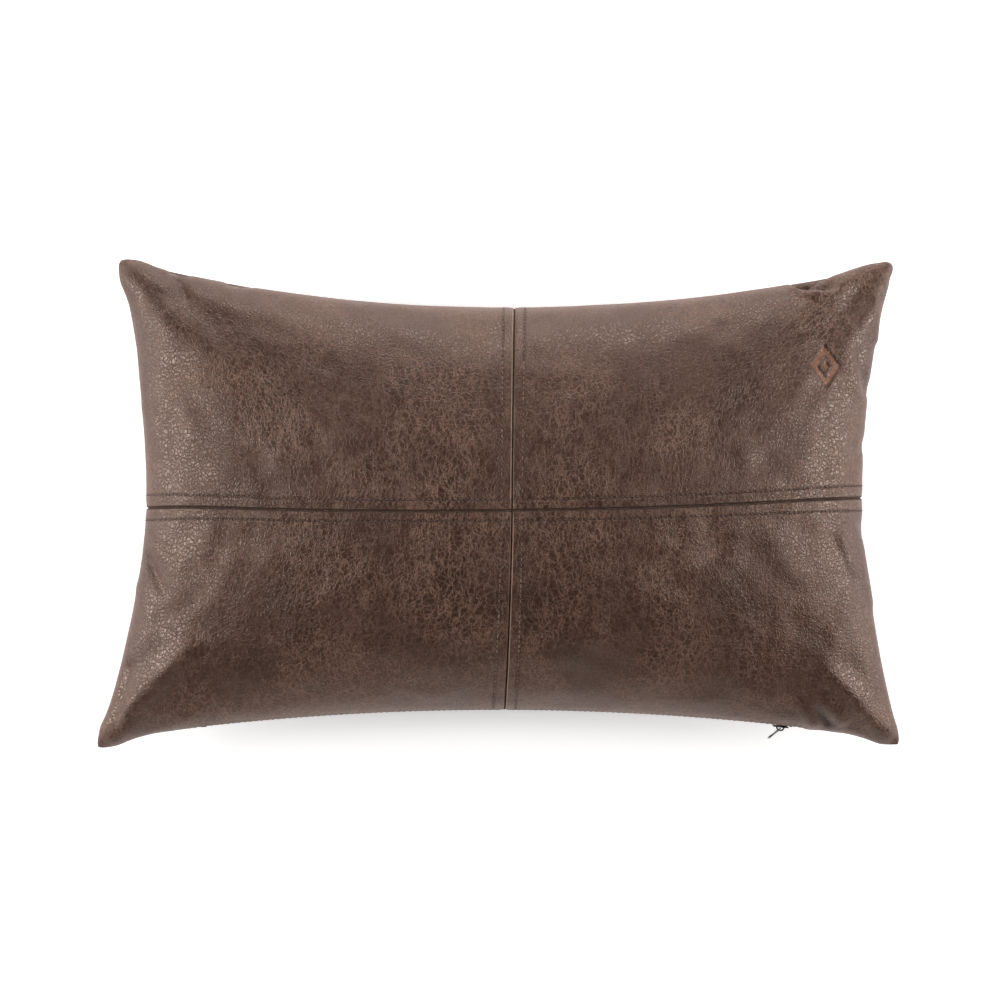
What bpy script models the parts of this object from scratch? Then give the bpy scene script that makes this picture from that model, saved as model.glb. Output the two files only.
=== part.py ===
"""A throw pillow lying on its back: a zipped leather cover, pieced from four front panels and one
back panel, over a fibre insert in its own casing.

+X runs along the pillow, +Y up its front and +Z out of it. The origin is on the table, under the
middle of the pillow's box. Lengths are in metres and angles in radians, unless a name says degrees.
"""

import math

import bmesh
import bpy
from mathutils import Matrix, Vector

# The filled cover. A 20 x 12 inch (508 x 305 mm) cover draws in to this as it fills.
FILLED_LENGTH = 0.4985
FILLED_WIDTH = 0.3026
FRONT_CROWN = 0.0660  # height of the front above the edge seam
BACK_CROWN = 0.0640  # depth that the back would have in the air
REST_DEPTH = 0.0580  # depth at which the table flattens the back

# How far each corner is drawn in from the corner of the filled box, in x and in y.
CORNER_PULL = {
    "top_left": (0.0143, 0.0),
    "top_right": (0.0050, 0.0032),
    "bottom_left": (0.0, 0.0),
    "bottom_right": (0.0, 0.0019),
}
CORNER_ROUND = 0.0070

# How far the middle of each edge is drawn in from the filled box.
LEFT_DRAW = 0.0298
RIGHT_DRAW = 0.0218
TOP_DRAW = 0.0282
BOTTOM_DRAW = 0.0229
UPPER_FLARE_POWER = 2.1  # how late an edge turns out towards its corner
LOWER_FLARE_POWER = 1.6
LONG_DOME_POWER = 0.80  # below 1 the dome is flatter than an ellipse
SHORT_DOME_POWER = 0.90

# Leather, thread and the seams of the front.
LEATHER = 0.0012
THREAD_WIDTH = 0.0008
THREAD_THICKNESS = 0.0004
SEAM_ALLOWANCE = 0.0080  # leather turned under on each side of the two seams
ALLOWANCE_TRIM_DEGREES = 10  # how near an outer edge it is trimmed away, clear of the zip's tape
STITCH_OFFSET = 0.0063  # from a seam to its row of stitches
CROSS_SEAM_RISE = (-0.0013, 0.0035, 0.0023)  # middle, tilt and bow of the seam along the pillow
UPRIGHT_SEAM_SHIFT = (0.0050, 0.0008)  # middle and tilt of the seam across it
STITCH_END_MARGIN = 0.0030

CLEARANCE = 0.0003  # between pieces that touch
TRIM_CLEARANCE = 0.0004  # between pieces that lie along each other in curves

# The insert.
CASING = 0.0006
INSERT_GAP = LEATHER * 2 + TRIM_CLEARANCE  # from the leather's face to the casing
BACK_INSERT_GAP = LEATHER + TRIM_CLEARANCE

# The zip, a number 3 coil zip in the bottom edge. Its parts lie on arcs round one centre.
ZIP_ARC_RADIUS = 1.600
ZIP_END_DISTANCE = 0.06725  # from each end of the zip to the end of the pillow
TAPE_END_MARGIN = 0.0036  # how far past the coils the tapes reach
TAPE_THICKNESS = 0.0006
TAPE_WIDTH = 0.0115
COIL_WIDTH = 0.0022
COIL_THICKNESS = 0.0013
HALF_CHAIN_GAP = 0.0009
LIP_HALF_GAP = 0.0046  # from the zip's middle to the leather on each side
LIP_END_MARGIN = 0.004  # how far past the zip the lips stay open
LIP_CLOSING_LENGTH = 0.008  # over which they close again
LIP_STITCH_OFFSET = 0.0022
STOP_LENGTH = 0.0016
BOTTOM_STOP_LENGTH = 0.0030
STOP_EXTRA = 0.0002

# The slider, and the pull on its crown. Heights are measured outwards from the leather's face.
SLIDER_LENGTH = 0.0095
SLIDER_HALF_WIDTH = 0.0039
SLIDER_PLATE = 0.0009
SLIDER_CLEARANCE = 0.00035
POST_WIDTH = 0.0010
POST_LENGTH = 0.0020
CROWN_LENGTH = 0.0060
CROWN_WIDTH = 0.0014
CROWN_WALL = 0.0008
CROWN_WINDOW_LENGTH = 0.0034
CROWN_WINDOW_HEIGHT = 0.0017
PULL_LENGTH = 0.0100  # from its hinge to its tip
PULL_WIDTH = 0.0044
PULL_THICKNESS = 0.0009
PULL_WINDOW_LENGTH = 0.0034
PULL_WINDOW_WIDTH = 0.0022
PULL_REST_DEGREES = 45.0  # how far the pull stands out from the zip

# Grid lines, in degrees from an edge (0) to the middle of the pillow (90).
FINE_LINES = (0, 4, 8, 13, 19, 26, 34, 43, 52, 62, 71, 81, 90)
COARSE_LINES = (0, 8, 19, 34, 52, 71, 81, 90)

# Worked out from the sizes above.
HALF_LENGTH = FILLED_LENGTH / 2
HALF_WIDTH = FILLED_WIDTH / 2
TIP_CUT = CORNER_ROUND * (1 - math.sqrt(0.5))  # that rounding takes off a corner, in x and in y
ZIP_HALF_LENGTH = HALF_LENGTH - ZIP_END_DISTANCE
SEAM_HEIGHT = REST_DEPTH + CLEARANCE / 2
BOTTOM_MIDDLE_Y = -HALF_WIDTH + BOTTOM_DRAW
ZIP_CENTRE = Vector((0.0, BOTTOM_MIDDLE_Y - ZIP_ARC_RADIUS, SEAM_HEIGHT))
TAPE_INSET = LEATHER + TRIM_CLEARANCE  # of the tape's outer face, in from the leather's face
CHAIN_BOTTOM = -(TAPE_INSET - CLEARANCE)
CHAIN_TOP = CHAIN_BOTTOM + COIL_THICKNESS
OUTER_PLATE_BOTTOM = CHAIN_TOP + SLIDER_CLEARANCE
OUTER_PLATE_TOP = OUTER_PLATE_BOTTOM + SLIDER_PLATE
INNER_PLATE_TOP = -(TAPE_INSET + TAPE_THICKNESS + SLIDER_CLEARANCE)
INNER_PLATE_BOTTOM = INNER_PLATE_TOP - SLIDER_PLATE
ZIP_INSERT_GAP = -INNER_PLATE_BOTTOM + 3 * TRIM_CLEARANCE
HINGE_HEIGHT = OUTER_PLATE_TOP + CROWN_WINDOW_HEIGHT / 2
SLIDER_ANGLE = -(ZIP_HALF_LENGTH - SLIDER_LENGTH / 2 - CLEARANCE) / ZIP_ARC_RADIUS


# ---------------------------------------------------------------- the pillow's surface


class Layer:
    """One skin of the pillow: the leather's face, or a surface further in."""

    def __init__(self, inset=0.0, bottom_inset=None, back_inset=None):
        self.inset = inset
        self.bottom_inset = inset if bottom_inset is None else bottom_inset
        self.back_inset = inset if back_inset is None else back_inset


def corner(name):
    """x and y where the corner's two edges would meet, were its tip not rounded off."""
    pull_x, pull_y = CORNER_PULL[name]
    sign_x = 1 if name.endswith("right") else -1
    sign_y = 1 if name.startswith("top") else -1
    return sign_x * (HALF_LENGTH + TIP_CUT - pull_x), sign_y * (HALF_WIDTH + TIP_CUT - pull_y)


def flared(share, middle, low_corner, high_corner, low_power, high_power):
    """An edge's offset at a share of its half length, drawn in at its middle."""
    if share < 0:
        return middle + (low_corner - middle) * (-share) ** low_power
    return middle + (high_corner - middle) * share**high_power


def side_edge(sign, v):
    """x of the left (-1) or right (1) edge at height v."""
    side = "right" if sign > 0 else "left"
    draw = RIGHT_DRAW if sign > 0 else LEFT_DRAW
    ends = (corner("bottom_" + side)[0], corner("top_" + side)[0])
    return flared(v, sign * (HALF_LENGTH - draw), *ends, LOWER_FLARE_POWER, UPPER_FLARE_POWER)


def top_edge(u):
    """y of the top edge at u."""
    ends = (corner("top_left")[1], corner("top_right")[1])
    return flared(u, HALF_WIDTH - TOP_DRAW, *ends, UPPER_FLARE_POWER, UPPER_FLARE_POWER)


def zip_arc(x):
    """y of the arc that the zip follows in the bottom edge."""
    return ZIP_CENTRE.y + math.sqrt(ZIP_ARC_RADIUS**2 - x * x)


def bottom_edge(u):
    """y of the bottom edge at u: the zip's arc, then a little more flare to each corner."""
    corner_x, corner_y = corner("bottom_right" if u > 0 else "bottom_left")
    x = abs(corner_x) * abs(u)
    straight = ZIP_HALF_LENGTH + LIP_END_MARGIN + LIP_CLOSING_LENGTH
    past_zip = max(0.0, (x - straight) / (abs(corner_x) - straight))
    extra = corner_y - zip_arc(corner_x)
    return zip_arc(x) + extra * past_zip**2


def rounding(distance):
    """How strongly a corner is rounded at a distance from it along an edge, from 1 to 0."""
    return max(0.0, 1 - distance / CORNER_ROUND) ** 2


def plan(u, v, layer):
    """x and y on a layer at u, v, which run from -1 to 1 between its edges."""
    left = side_edge(-1, v) + layer.inset
    right = side_edge(1, v) - layer.inset
    bottom = bottom_edge(u) + layer.bottom_inset
    top = top_edge(u) - layer.inset
    x = left + (right - left) * (u + 1) / 2
    y = bottom + (top - bottom) * (v + 1) / 2
    near_side = (1 - abs(u)) * HALF_LENGTH
    near_end = (1 - abs(v)) * HALF_WIDTH
    pull = TIP_CUT * rounding(near_side) * rounding(near_end)
    return x - math.copysign(pull, u), y - math.copysign(pull, v)


def dome(u, v):
    """The pillow's swell at u, v, from 1 in the middle to 0 at the edges."""
    along = max(0.0, 1 - u * u) ** (LONG_DOME_POWER / 2)
    across = max(0.0, 1 - v * v) ** (SHORT_DOME_POWER / 2)
    return along * across


def surface(u, v, layer, side):
    """A point on the front (side 1) or the back (side -1) of a layer."""
    x, y = plan(u, v, layer)
    if side > 0:
        return Vector((x, y, SEAM_HEIGHT + CLEARANCE / 2 + (FRONT_CROWN - layer.inset) * dome(u, v)))
    swell = (BACK_CROWN - layer.back_inset) * dome(u, v)
    return Vector((x, y, SEAM_HEIGHT - CLEARANCE / 2 - min(swell, REST_DEPTH - layer.back_inset)))


def normal(u, v, layer, side):
    """The surface's outward normal at u, v."""
    step = 0.002
    du, dv = (-step if u > 0 else step), (-step if v > 0 else step)
    here = surface(u, v, layer, side)
    along = (surface(u + du, v, layer, side) - here) / du
    across = (surface(u, v + dv, layer, side) - here) / dv
    return side * along.cross(across).normalized()


def height_line(u, height, layer, side):
    """v near the bottom edge where a layer is this far above or below the edge seam."""
    rise = height - CLEARANCE / 2
    if rise <= 0:
        return -1.0
    crown = FRONT_CROWN - layer.inset if side > 0 else BACK_CROWN - layer.back_inset
    share = min(1.0, rise / (crown * dome(u, 0.0)))
    return -math.sqrt(1 - share ** (2 / SHORT_DOME_POWER))


def lip_height(across):
    """Height of the leather's lip over the zip's middle: open along the zip, closed past it."""
    past_zip = abs(corner("bottom_right")[0] * across) - ZIP_HALF_LENGTH - LIP_END_MARGIN
    closed = min(1.0, max(0.0, past_zip / LIP_CLOSING_LENGTH))
    return LIP_HALF_GAP + (CLEARANCE / 2 - LIP_HALF_GAP) * closed


# ---------------------------------------------------------------- making and finishing meshes


def start_scene():
    """Clears the scene of its objects."""
    for obj in list(bpy.data.objects):
        bpy.data.objects.remove(obj)


def material(name, colour, roughness, metallic=0.0):
    """A plain Principled BSDF material."""
    made = bpy.data.materials.new(name)
    made.use_nodes = True
    shader = made.node_tree.nodes["Principled BSDF"]
    shader.inputs["Base Color"].default_value = (*colour, 1.0)
    shader.inputs["Roughness"].default_value = roughness
    shader.inputs["Metallic"].default_value = metallic
    return made


def finish(name, bm, finish_material, parent=None):
    """Turns a bmesh into a named object."""
    bmesh.ops.recalc_face_normals(bm, faces=bm.faces[:])
    if bm.calc_volume(signed=True) < 0:
        bmesh.ops.reverse_faces(bm, faces=bm.faces[:])
    mesh = bpy.data.meshes.new(name)
    bm.to_mesh(mesh)
    bm.free()
    obj = bpy.data.objects.new(name, mesh)
    obj.parent = parent
    mesh.materials.append(finish_material)
    bpy.context.scene.collection.objects.link(obj)
    return obj


def slab(name, columns, rows, near, far, finish_material):
    """A closed sheet between near(column, row) and far(column, row), on a grid of those lines."""
    bm = bmesh.new()
    column_of = bm.verts.layers.int.new("column")
    row_of = bm.verts.layers.int.new("row")
    last_column, last_row = len(columns) - 1, len(rows) - 1
    bmesh.ops.create_grid(bm, x_segments=last_column, y_segments=last_row, size=1.0)
    for vert in bm.verts:
        vert[column_of] = round((vert.co.x + 1) / 2 * last_column)
        vert[row_of] = round((vert.co.y + 1) / 2 * last_row)
    extruded = bmesh.ops.extrude_face_region(bm, geom=bm.faces[:])["geom"]
    far_verts = {item for item in extruded if isinstance(item, bmesh.types.BMVert)}
    for vert in bm.verts:
        place = far if vert in far_verts else near
        vert.co = place(columns[vert[column_of]], rows[vert[row_of]])
    return finish(name, bm, finish_material)


def box(low, high):
    """A bmesh box between two corners."""
    bm = bmesh.new()
    bmesh.ops.create_cube(bm, size=1.0)
    low, high = Vector(low), Vector(high)
    for vert in bm.verts:
        vert.co = [low[k] + (high[k] - low[k]) * (vert.co[k] + 0.5) for k in range(3)]
    return bm


def boolean(obj, tool_name, tool_bm, operation):
    """Adds or cuts a helper shape that sits in the same place as obj."""
    tool = finish(tool_name, tool_bm, obj.data.materials[0], obj.parent)
    tool.matrix_basis = obj.matrix_basis
    tool.hide_render = True
    tool.display_type = "WIRE"
    modifier = obj.modifiers.new(tool_name, "BOOLEAN")
    modifier.operation = operation
    modifier.object = tool


def from_middle(degrees_from_edge):
    """Distances from the middle, 0 to 1, at grid lines given in degrees from the edge."""
    return [math.sin(math.radians(90 - angle)) for angle in reversed(degrees_from_edge)]


# ---------------------------------------------------------------- the leather cover


def seam_shift(position, middle, tilt, bow=0.0):
    """A seam's offset at a position from -1 to 1 along it."""
    return middle + tilt * position + bow * position**2


def seamed(across, along):
    """u, v at a grid position, with the middle lines drawn over to the two seams."""
    shift_u = seam_shift(along, *UPRIGHT_SEAM_SHIFT) / HALF_LENGTH
    shift_v = seam_shift(across, *CROSS_SEAM_RISE) / HALF_WIDTH
    return across + shift_u * (1 - abs(across)), along + shift_v * (1 - abs(along))


def lipped(u, v, lip, layer, side):
    """v moved up from the bottom edge, which itself goes up to the lip's height."""
    if v >= 0:
        return v
    lip_v = height_line(u, lip, layer, side)
    return math.sin(math.asin(v) * math.asin(lip_v) / math.asin(-1.0))


def cover_point(across, along, layer, side):
    """A point of the cover's leather, with the zip's opening left out."""
    u, v = seamed(across, along) if side > 0 else (across, along)
    return surface(u, lipped(u, v, lip_height(across), layer, side), layer, side)


def cover_columns():
    """Grid lines from the middle to a side edge, with one at each end of the lip's closing."""
    reach = corner("bottom_right")[0]
    lip_end = (ZIP_HALF_LENGTH + LIP_END_MARGIN) / reach
    closing = LIP_CLOSING_LENGTH / reach
    spaced = [line for line in from_middle(FINE_LINES) if abs(line - lip_end) > closing]
    return sorted([*spaced, lip_end, lip_end + closing])


def from_seam(lines, half_size):
    """A front panel's grid lines: its seam and turned allowance, then the given lines."""
    seam = CLEARANCE / 2 / half_size
    allowance = SEAM_ALLOWANCE / half_size
    ramp = (SEAM_ALLOWANCE + LEATHER / 4) / half_size
    return [seam, allowance, ramp] + [line for line in lines if line > 2 * ramp]


def front_panel(name, sign_x, sign_y, leather):
    """One quarter of the front. Along both seams its edge is turned under, so it is twice as thick."""
    lines_x = from_seam(cover_columns(), HALF_LENGTH)
    lines_y = from_seam(from_middle(FINE_LINES), HALF_WIDTH)
    turned_x, turned_y = lines_x[1], lines_y[1]
    trim = math.cos(math.radians(ALLOWANCE_TRIM_DEGREES))

    def face(across, along):
        return cover_point(sign_x * across, sign_y * along, Layer(), 1)

    def lining(across, along):
        turned = min(across - turned_x, along - turned_y) <= 0 and max(across, along) < trim
        layer = Layer(LEATHER * (2 if turned else 1))
        return cover_point(sign_x * across, sign_y * along, layer, 1)

    return slab(name, lines_x, lines_y, face, lining, leather)


def both_sides(lines):
    """Grid lines from one edge of the pillow to the other."""
    return [-line for line in reversed(lines[1:])] + lines


def back_panel(leather):
    """The back of the cover, in one piece."""
    columns = both_sides(cover_columns())
    rows = both_sides(from_middle(FINE_LINES))

    def face(across, along):
        return cover_point(across, along, Layer(), -1)

    def lining(across, along):
        return cover_point(across, along, Layer(LEATHER), -1)

    return slab("back_panel", columns, rows, face, lining, leather)


# ---------------------------------------------------------------- the rows of stitches


def thread_along(name, points, thread):
    """A flat thread that lies just above the leather along points, each (place, normal)."""
    lines = list(range(len(points)))

    def placed(index, edge, height):
        place, outward = points[index]
        before, after = points[max(index - 1, 0)][0], points[min(index + 1, lines[-1])][0]
        sideways = (after - before).cross(outward).normalized()
        return place + sideways * edge * THREAD_WIDTH / 2 + outward * height

    def upper(index, edge):
        return placed(index, edge, CLEARANCE + THREAD_THICKNESS)

    def lower(index, edge):
        return placed(index, edge, CLEARANCE)

    return slab(name, lines, [-1, 1], upper, lower, thread)


def stitched_point(across, along):
    """A place on the front's leather face and its normal there."""
    u, v = seamed(across, along)
    return surface(u, v, Layer(), 1), normal(u, v, Layer(), 1)


def topstitching(thread):
    """Two rows along the pillow, and two above and two below them across it."""
    beside_x = STITCH_OFFSET / HALF_LENGTH
    beside_y = STITCH_OFFSET / HALF_WIDTH
    crossing = beside_y + (THREAD_WIDTH + CLEARANCE) / HALF_WIDTH
    last_x = 1 - STITCH_END_MARGIN / HALF_LENGTH
    last_y = 1 - STITCH_END_MARGIN / HALF_WIDTH
    long_lines = [x for x in cover_columns() if x < last_x] + [last_x]
    half_lines = [y for y in from_middle(FINE_LINES) if crossing < y < last_y]
    short_lines = [crossing, *half_lines, last_y]
    for row, sign_y in (("above", 1), ("below", -1)):
        points = [stitched_point(x, sign_y * beside_y) for x in both_sides(long_lines)]
        thread_along(f"topstitch_{row}_cross_seam", points, thread)
    for half, sign_y in (("upper", 1), ("lower", -1)):
        for hand, sign_x in (("left", -1), ("right", 1)):
            points = [stitched_point(sign_x * beside_x, sign_y * y) for y in short_lines]
            thread_along(f"topstitch_{half}_{hand}", points, thread)


def zip_columns(half_length):
    """u along the zip, on the cover's own grid lines as far as they go."""
    reach = half_length / corner("bottom_right")[0]
    return both_sides([line for line in cover_columns() if line < reach] + [reach])


def lip_stitching(name, side, thread):
    """The row of stitches that holds one edge of the zip to the leather."""
    points = []
    for u in zip_columns(ZIP_HALF_LENGTH):
        v = height_line(u, LIP_HALF_GAP + LIP_STITCH_OFFSET, Layer(), side)
        points.append((surface(u, v, Layer(), side), normal(u, v, Layer(), side)))
    return thread_along(name, points, thread)


# ---------------------------------------------------------------- the zip


def zip_tape(name, side, cloth):
    """One woven tape of the zip, lying along the inside of the leather."""
    columns = zip_columns(ZIP_HALF_LENGTH + TAPE_END_MARGIN)
    heights = [HALF_CHAIN_GAP, LIP_HALF_GAP, (LIP_HALF_GAP + TAPE_WIDTH) / 2, TAPE_WIDTH]
    outer = Layer(TAPE_INSET)
    inner = Layer(TAPE_INSET + TAPE_THICKNESS)

    def on(layer):
        def place(u, height):
            return surface(u, height_line(u, height, layer, side), layer, side)

        return place

    return slab(name, columns, heights, on(outer), on(inner), cloth)


def arc_bar(name, start_x, end_x, low, high, steps, bar_material):
    """A bar along the zip between two values of x. low and high are (height, z from the zip's
    middle): heights are measured outwards from the leather's face."""
    bm = bmesh.new()
    bmesh.ops.create_grid(bm, x_segments=1, y_segments=1, size=1.0)
    for vert in bm.verts:
        height = high[0] if vert.co.x > 0 else low[0]
        z = high[1] if vert.co.y > 0 else low[1]
        vert.co = (0.0, ZIP_ARC_RADIUS - height, z)
    start, end = -start_x / ZIP_ARC_RADIUS, -end_x / ZIP_ARC_RADIUS
    bmesh.ops.rotate(bm, verts=bm.verts[:], cent=(0, 0, 0), matrix=Matrix.Rotation(start, 3, "Z"))
    bmesh.ops.spin(
        bm, geom=bm.faces[:], cent=(0, 0, 0), axis=(0, 0, 1), angle=end - start, steps=steps
    )
    bar = finish(name, bm, bar_material)
    bar.location = ZIP_CENTRE
    return bar


def zip_chain(coil_material, metal):
    """The two coils and the metal stops at their ends."""
    chain_edge = HALF_CHAIN_GAP + COIL_WIDTH
    low_height, high_height = CHAIN_BOTTOM, CHAIN_TOP
    stop_end = ZIP_HALF_LENGTH + CLEARANCE + STOP_LENGTH
    for name, side in (("front", 1), ("back", -1)):
        near, far = sorted((side * HALF_CHAIN_GAP, side * chain_edge))
        arc_bar(
            f"zip_coil_{name}",
            -ZIP_HALF_LENGTH,
            ZIP_HALF_LENGTH,
            (low_height, near),
            (high_height, far),
            24,
            coil_material,
        )
        arc_bar(
            f"zip_top_stop_{name}",
            ZIP_HALF_LENGTH + CLEARANCE,
            stop_end,
            (low_height, near - STOP_EXTRA),
            (high_height + STOP_EXTRA, far + STOP_EXTRA),
            1,
            metal,
        )
    arc_bar(
        "zip_bottom_stop",
        -ZIP_HALF_LENGTH - CLEARANCE - BOTTOM_STOP_LENGTH,
        -ZIP_HALF_LENGTH - CLEARANCE,
        (low_height, -chain_edge),
        (high_height + STOP_EXTRA, chain_edge),
        2,
        metal,
    )


def slider_y(height):
    """y in the slider's frame, whose origin is the zip's centre, at a height off the leather."""
    return ZIP_ARC_RADIUS - height


def zip_slider(metal, arc_centre):
    """Two plates joined by the post that parts the coils, with side flanges and a crown."""
    half = SLIDER_LENGTH / 2
    width = SLIDER_HALF_WIDTH
    overlap = SLIDER_PLATE / 2
    plate_inner = slider_y(OUTER_PLATE_BOTTOM)
    outer_plate = box((-half, slider_y(OUTER_PLATE_TOP), -width), (half, plate_inner, width))
    slider = finish("zip_slider", outer_plate, metal, arc_centre)
    inner_plate = box(
        (-half, slider_y(INNER_PLATE_TOP), -width), (half, slider_y(INNER_PLATE_BOTTOM), width)
    )
    boolean(slider, "slider_inner_plate", inner_plate, "UNION")
    post = box(
        (half - POST_LENGTH - SLIDER_PLATE, plate_inner - overlap, -POST_WIDTH / 2),
        (half - SLIDER_PLATE, slider_y(INNER_PLATE_TOP) + overlap, POST_WIDTH / 2),
    )
    boolean(slider, "slider_post", post, "UNION")
    flange_edge = slider_y(-TAPE_INSET + SLIDER_CLEARANCE)
    flange_inside = HALF_CHAIN_GAP + COIL_WIDTH + SLIDER_CLEARANCE
    for side, name in ((1, "slider_front_flange"), (-1, "slider_back_flange")):
        near, far = sorted((side * flange_inside, side * width))
        flange = box((-half, plate_inner - overlap, near), (half, flange_edge, far))
        boolean(slider, name, flange, "UNION")
    crown_top = HINGE_HEIGHT + CROWN_WINDOW_HEIGHT / 2 + CROWN_WALL
    crown = box(
        (-CROWN_LENGTH / 2, slider_y(crown_top), -CROWN_WIDTH / 2),
        (CROWN_LENGTH / 2, slider_y(OUTER_PLATE_TOP) + overlap, CROWN_WIDTH / 2),
    )
    boolean(slider, "slider_crown", crown, "UNION")
    window = box(
        (-CROWN_WINDOW_LENGTH / 2, slider_y(OUTER_PLATE_TOP + CROWN_WINDOW_HEIGHT), -CROWN_WIDTH),
        (CROWN_WINDOW_LENGTH / 2, slider_y(OUTER_PLATE_TOP), CROWN_WIDTH),
    )
    boolean(slider, "crown_window", window, "DIFFERENCE")
    return slider


def zip_pull(metal, hinge):
    """A flat tab with a window: its end bar runs through the slider's crown. It lies along -X."""
    bar = PULL_THICKNESS / 2
    half = PULL_WIDTH / 2
    tab = box((-PULL_LENGTH + half, -bar, -half), (bar, bar, half))
    pull = finish("zip_pull", tab, metal, hinge)
    tip = bmesh.new()
    upright = Matrix.Rotation(math.radians(90), 4, "X")
    moved = Matrix.Translation((-PULL_LENGTH + half, 0, 0)) @ upright
    bmesh.ops.create_cone(
        tip,
        cap_ends=True,
        segments=20,
        radius1=half,
        radius2=half,
        depth=PULL_THICKNESS,
        matrix=moved,
    )
    boolean(pull, "pull_tip", tip, "UNION")
    window = box(
        (-bar - PULL_WINDOW_LENGTH, -PULL_THICKNESS, -PULL_WINDOW_WIDTH / 2),
        (-bar, PULL_THICKNESS, PULL_WINDOW_WIDTH / 2),
    )
    boolean(pull, "pull_window", window, "DIFFERENCE")
    return pull


def empty(name, location, turn, parent=None):
    """A joint's axis: an empty along Z, turned to the rest position."""
    made = bpy.data.objects.new(name, None)
    made.parent = parent
    made.location = location
    made.rotation_euler = (0.0, 0.0, turn)
    bpy.context.scene.collection.objects.link(made)
    return made


def moving_zip_parts(metal):
    """The slider, which turns about the centre of the zip's arc, and the pull on its crown."""
    arc_centre = empty("zip_arc_centre", ZIP_CENTRE, SLIDER_ANGLE)
    zip_slider(metal, arc_centre)
    hinge_place = (0.0, slider_y(HINGE_HEIGHT), 0.0)
    hinge = empty("pull_hinge", hinge_place, math.radians(PULL_REST_DEGREES), arc_centre)
    zip_pull(metal, hinge)


# ---------------------------------------------------------------- the insert


def insert(casing_cloth, fibre):
    """The casing's two sides and the fibre that fills them."""
    lines = both_sides(from_middle(COARSE_LINES))

    def layer(depth):
        return Layer(INSERT_GAP + depth, ZIP_INSERT_GAP + depth, BACK_INSERT_GAP + depth)

    def on(depth, side):
        def place(u, v):
            return surface(u, v, layer(depth), side)

        return place

    for name, side in (("front", 1), ("back", -1)):
        outside, inside = on(0.0, side), on(CASING, side)
        slab(f"insert_casing_{name}", lines, lines, outside, inside, casing_cloth)
    fill = CASING + CLEARANCE
    slab("insert_fill", lines, lines, on(fill, 1), on(fill, -1), fibre)


def main():
    start_scene()
    leather = material("brown_leather", (0.085, 0.048, 0.036), 0.45)
    thread = material("brown_thread", (0.120, 0.042, 0.028), 0.70)
    zip_cloth = material("zip_tape", (0.022, 0.015, 0.012), 0.85)
    coil = material("zip_coil", (0.018, 0.013, 0.011), 0.40)
    metal = material("zip_metal", (0.230, 0.220, 0.210), 0.35, 1.0)
    casing_cloth = material("casing_cloth", (0.720, 0.700, 0.660), 0.90)
    fibre = material("fibre_fill", (0.850, 0.850, 0.840), 1.00)

    for row, sign_y in (("top", 1), ("bottom", -1)):
        for hand, sign_x in (("left", -1), ("right", 1)):
            front_panel(f"front_panel_{row}_{hand}", sign_x, sign_y, leather)
    back_panel(leather)
    topstitching(thread)
    for name, side in (("front", 1), ("back", -1)):
        lip_stitching(f"zip_stitch_{name}", side, thread)
        zip_tape(f"zip_tape_{name}", side, zip_cloth)
    zip_chain(coil, metal)
    moving_zip_parts(metal)
    insert(casing_cloth, fibre)


main()
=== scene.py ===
# %% [markdown]
# # A zipped leather pillow
# The solid model already says how big the pillow is and how its zip moves. This lesson dresses that
# model: leather with a grain and real seams, thread, a nylon zip, and the insert inside the cover.
# It starts by loading the solid model, whose box every later piece has to stay within.

# %% Load the solid model
import math

import bmesh
import bpy
import numpy as np
from mathutils import Matrix, Vector


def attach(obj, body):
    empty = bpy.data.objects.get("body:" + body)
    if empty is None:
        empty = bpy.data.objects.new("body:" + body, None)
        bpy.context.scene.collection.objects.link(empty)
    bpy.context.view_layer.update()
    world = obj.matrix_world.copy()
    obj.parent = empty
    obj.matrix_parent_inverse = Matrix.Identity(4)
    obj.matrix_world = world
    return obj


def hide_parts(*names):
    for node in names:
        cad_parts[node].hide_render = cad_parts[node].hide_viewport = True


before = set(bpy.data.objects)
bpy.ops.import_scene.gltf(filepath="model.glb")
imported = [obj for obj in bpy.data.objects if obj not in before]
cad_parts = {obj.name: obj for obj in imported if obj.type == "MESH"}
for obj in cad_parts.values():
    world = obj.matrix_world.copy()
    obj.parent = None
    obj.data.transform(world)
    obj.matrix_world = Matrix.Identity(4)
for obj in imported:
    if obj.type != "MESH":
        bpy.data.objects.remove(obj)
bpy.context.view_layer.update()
MM = 0.001

# %% [markdown]
# The cover's outline follows from how such a cover is made. Two flat oblongs are sewn round their
# edges and filled, so each edge is drawn in at its middle and the corners stay out. The solid model
# uses the same rule with the same sizes, so the pieces made here lie where its pieces lie.

# %% The cover's sizes
HALF_LENGTH, HALF_WIDTH = 0.24925, 0.1513
FRONT_CROWN, BACK_CROWN, REST_DEPTH = 0.0660, 0.0640, 0.0580
SEAM_HEIGHT = 0.05815
CORNER_ROUND = 0.0070
TIP_CUT = CORNER_ROUND * (1 - math.sqrt(0.5))
LEFT, RIGHT, BOTTOM, TOP = -1, 1, -1, 1
FRONT, BACK = 1, -1
CORNER_PULL = {
    (LEFT, TOP): (0.0143, 0.0),
    (RIGHT, TOP): (0.0050, 0.0032),
    (LEFT, BOTTOM): (0.0, 0.0),
    (RIGHT, BOTTOM): (0.0, 0.0019),
}
LEFT_DRAW, RIGHT_DRAW, TOP_DRAW, BOTTOM_DRAW = 0.0298, 0.0218, 0.0282, 0.0229
UPPER_POWER, LOWER_POWER = 2.1, 1.6
LONG_DOME, SHORT_DOME = 0.80, 0.90
ZIP_RADIUS = 1.600
ZIP_CENTRE_Y = BOTTOM_DRAW - HALF_WIDTH - ZIP_RADIUS
ZIP_HALF_LENGTH = 0.1820
LIP_GAP, LIP_END_MARGIN, LIP_CLOSING = 0.0046, 0.004, 0.008
LEATHER_THICKNESS = 0.0012
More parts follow.
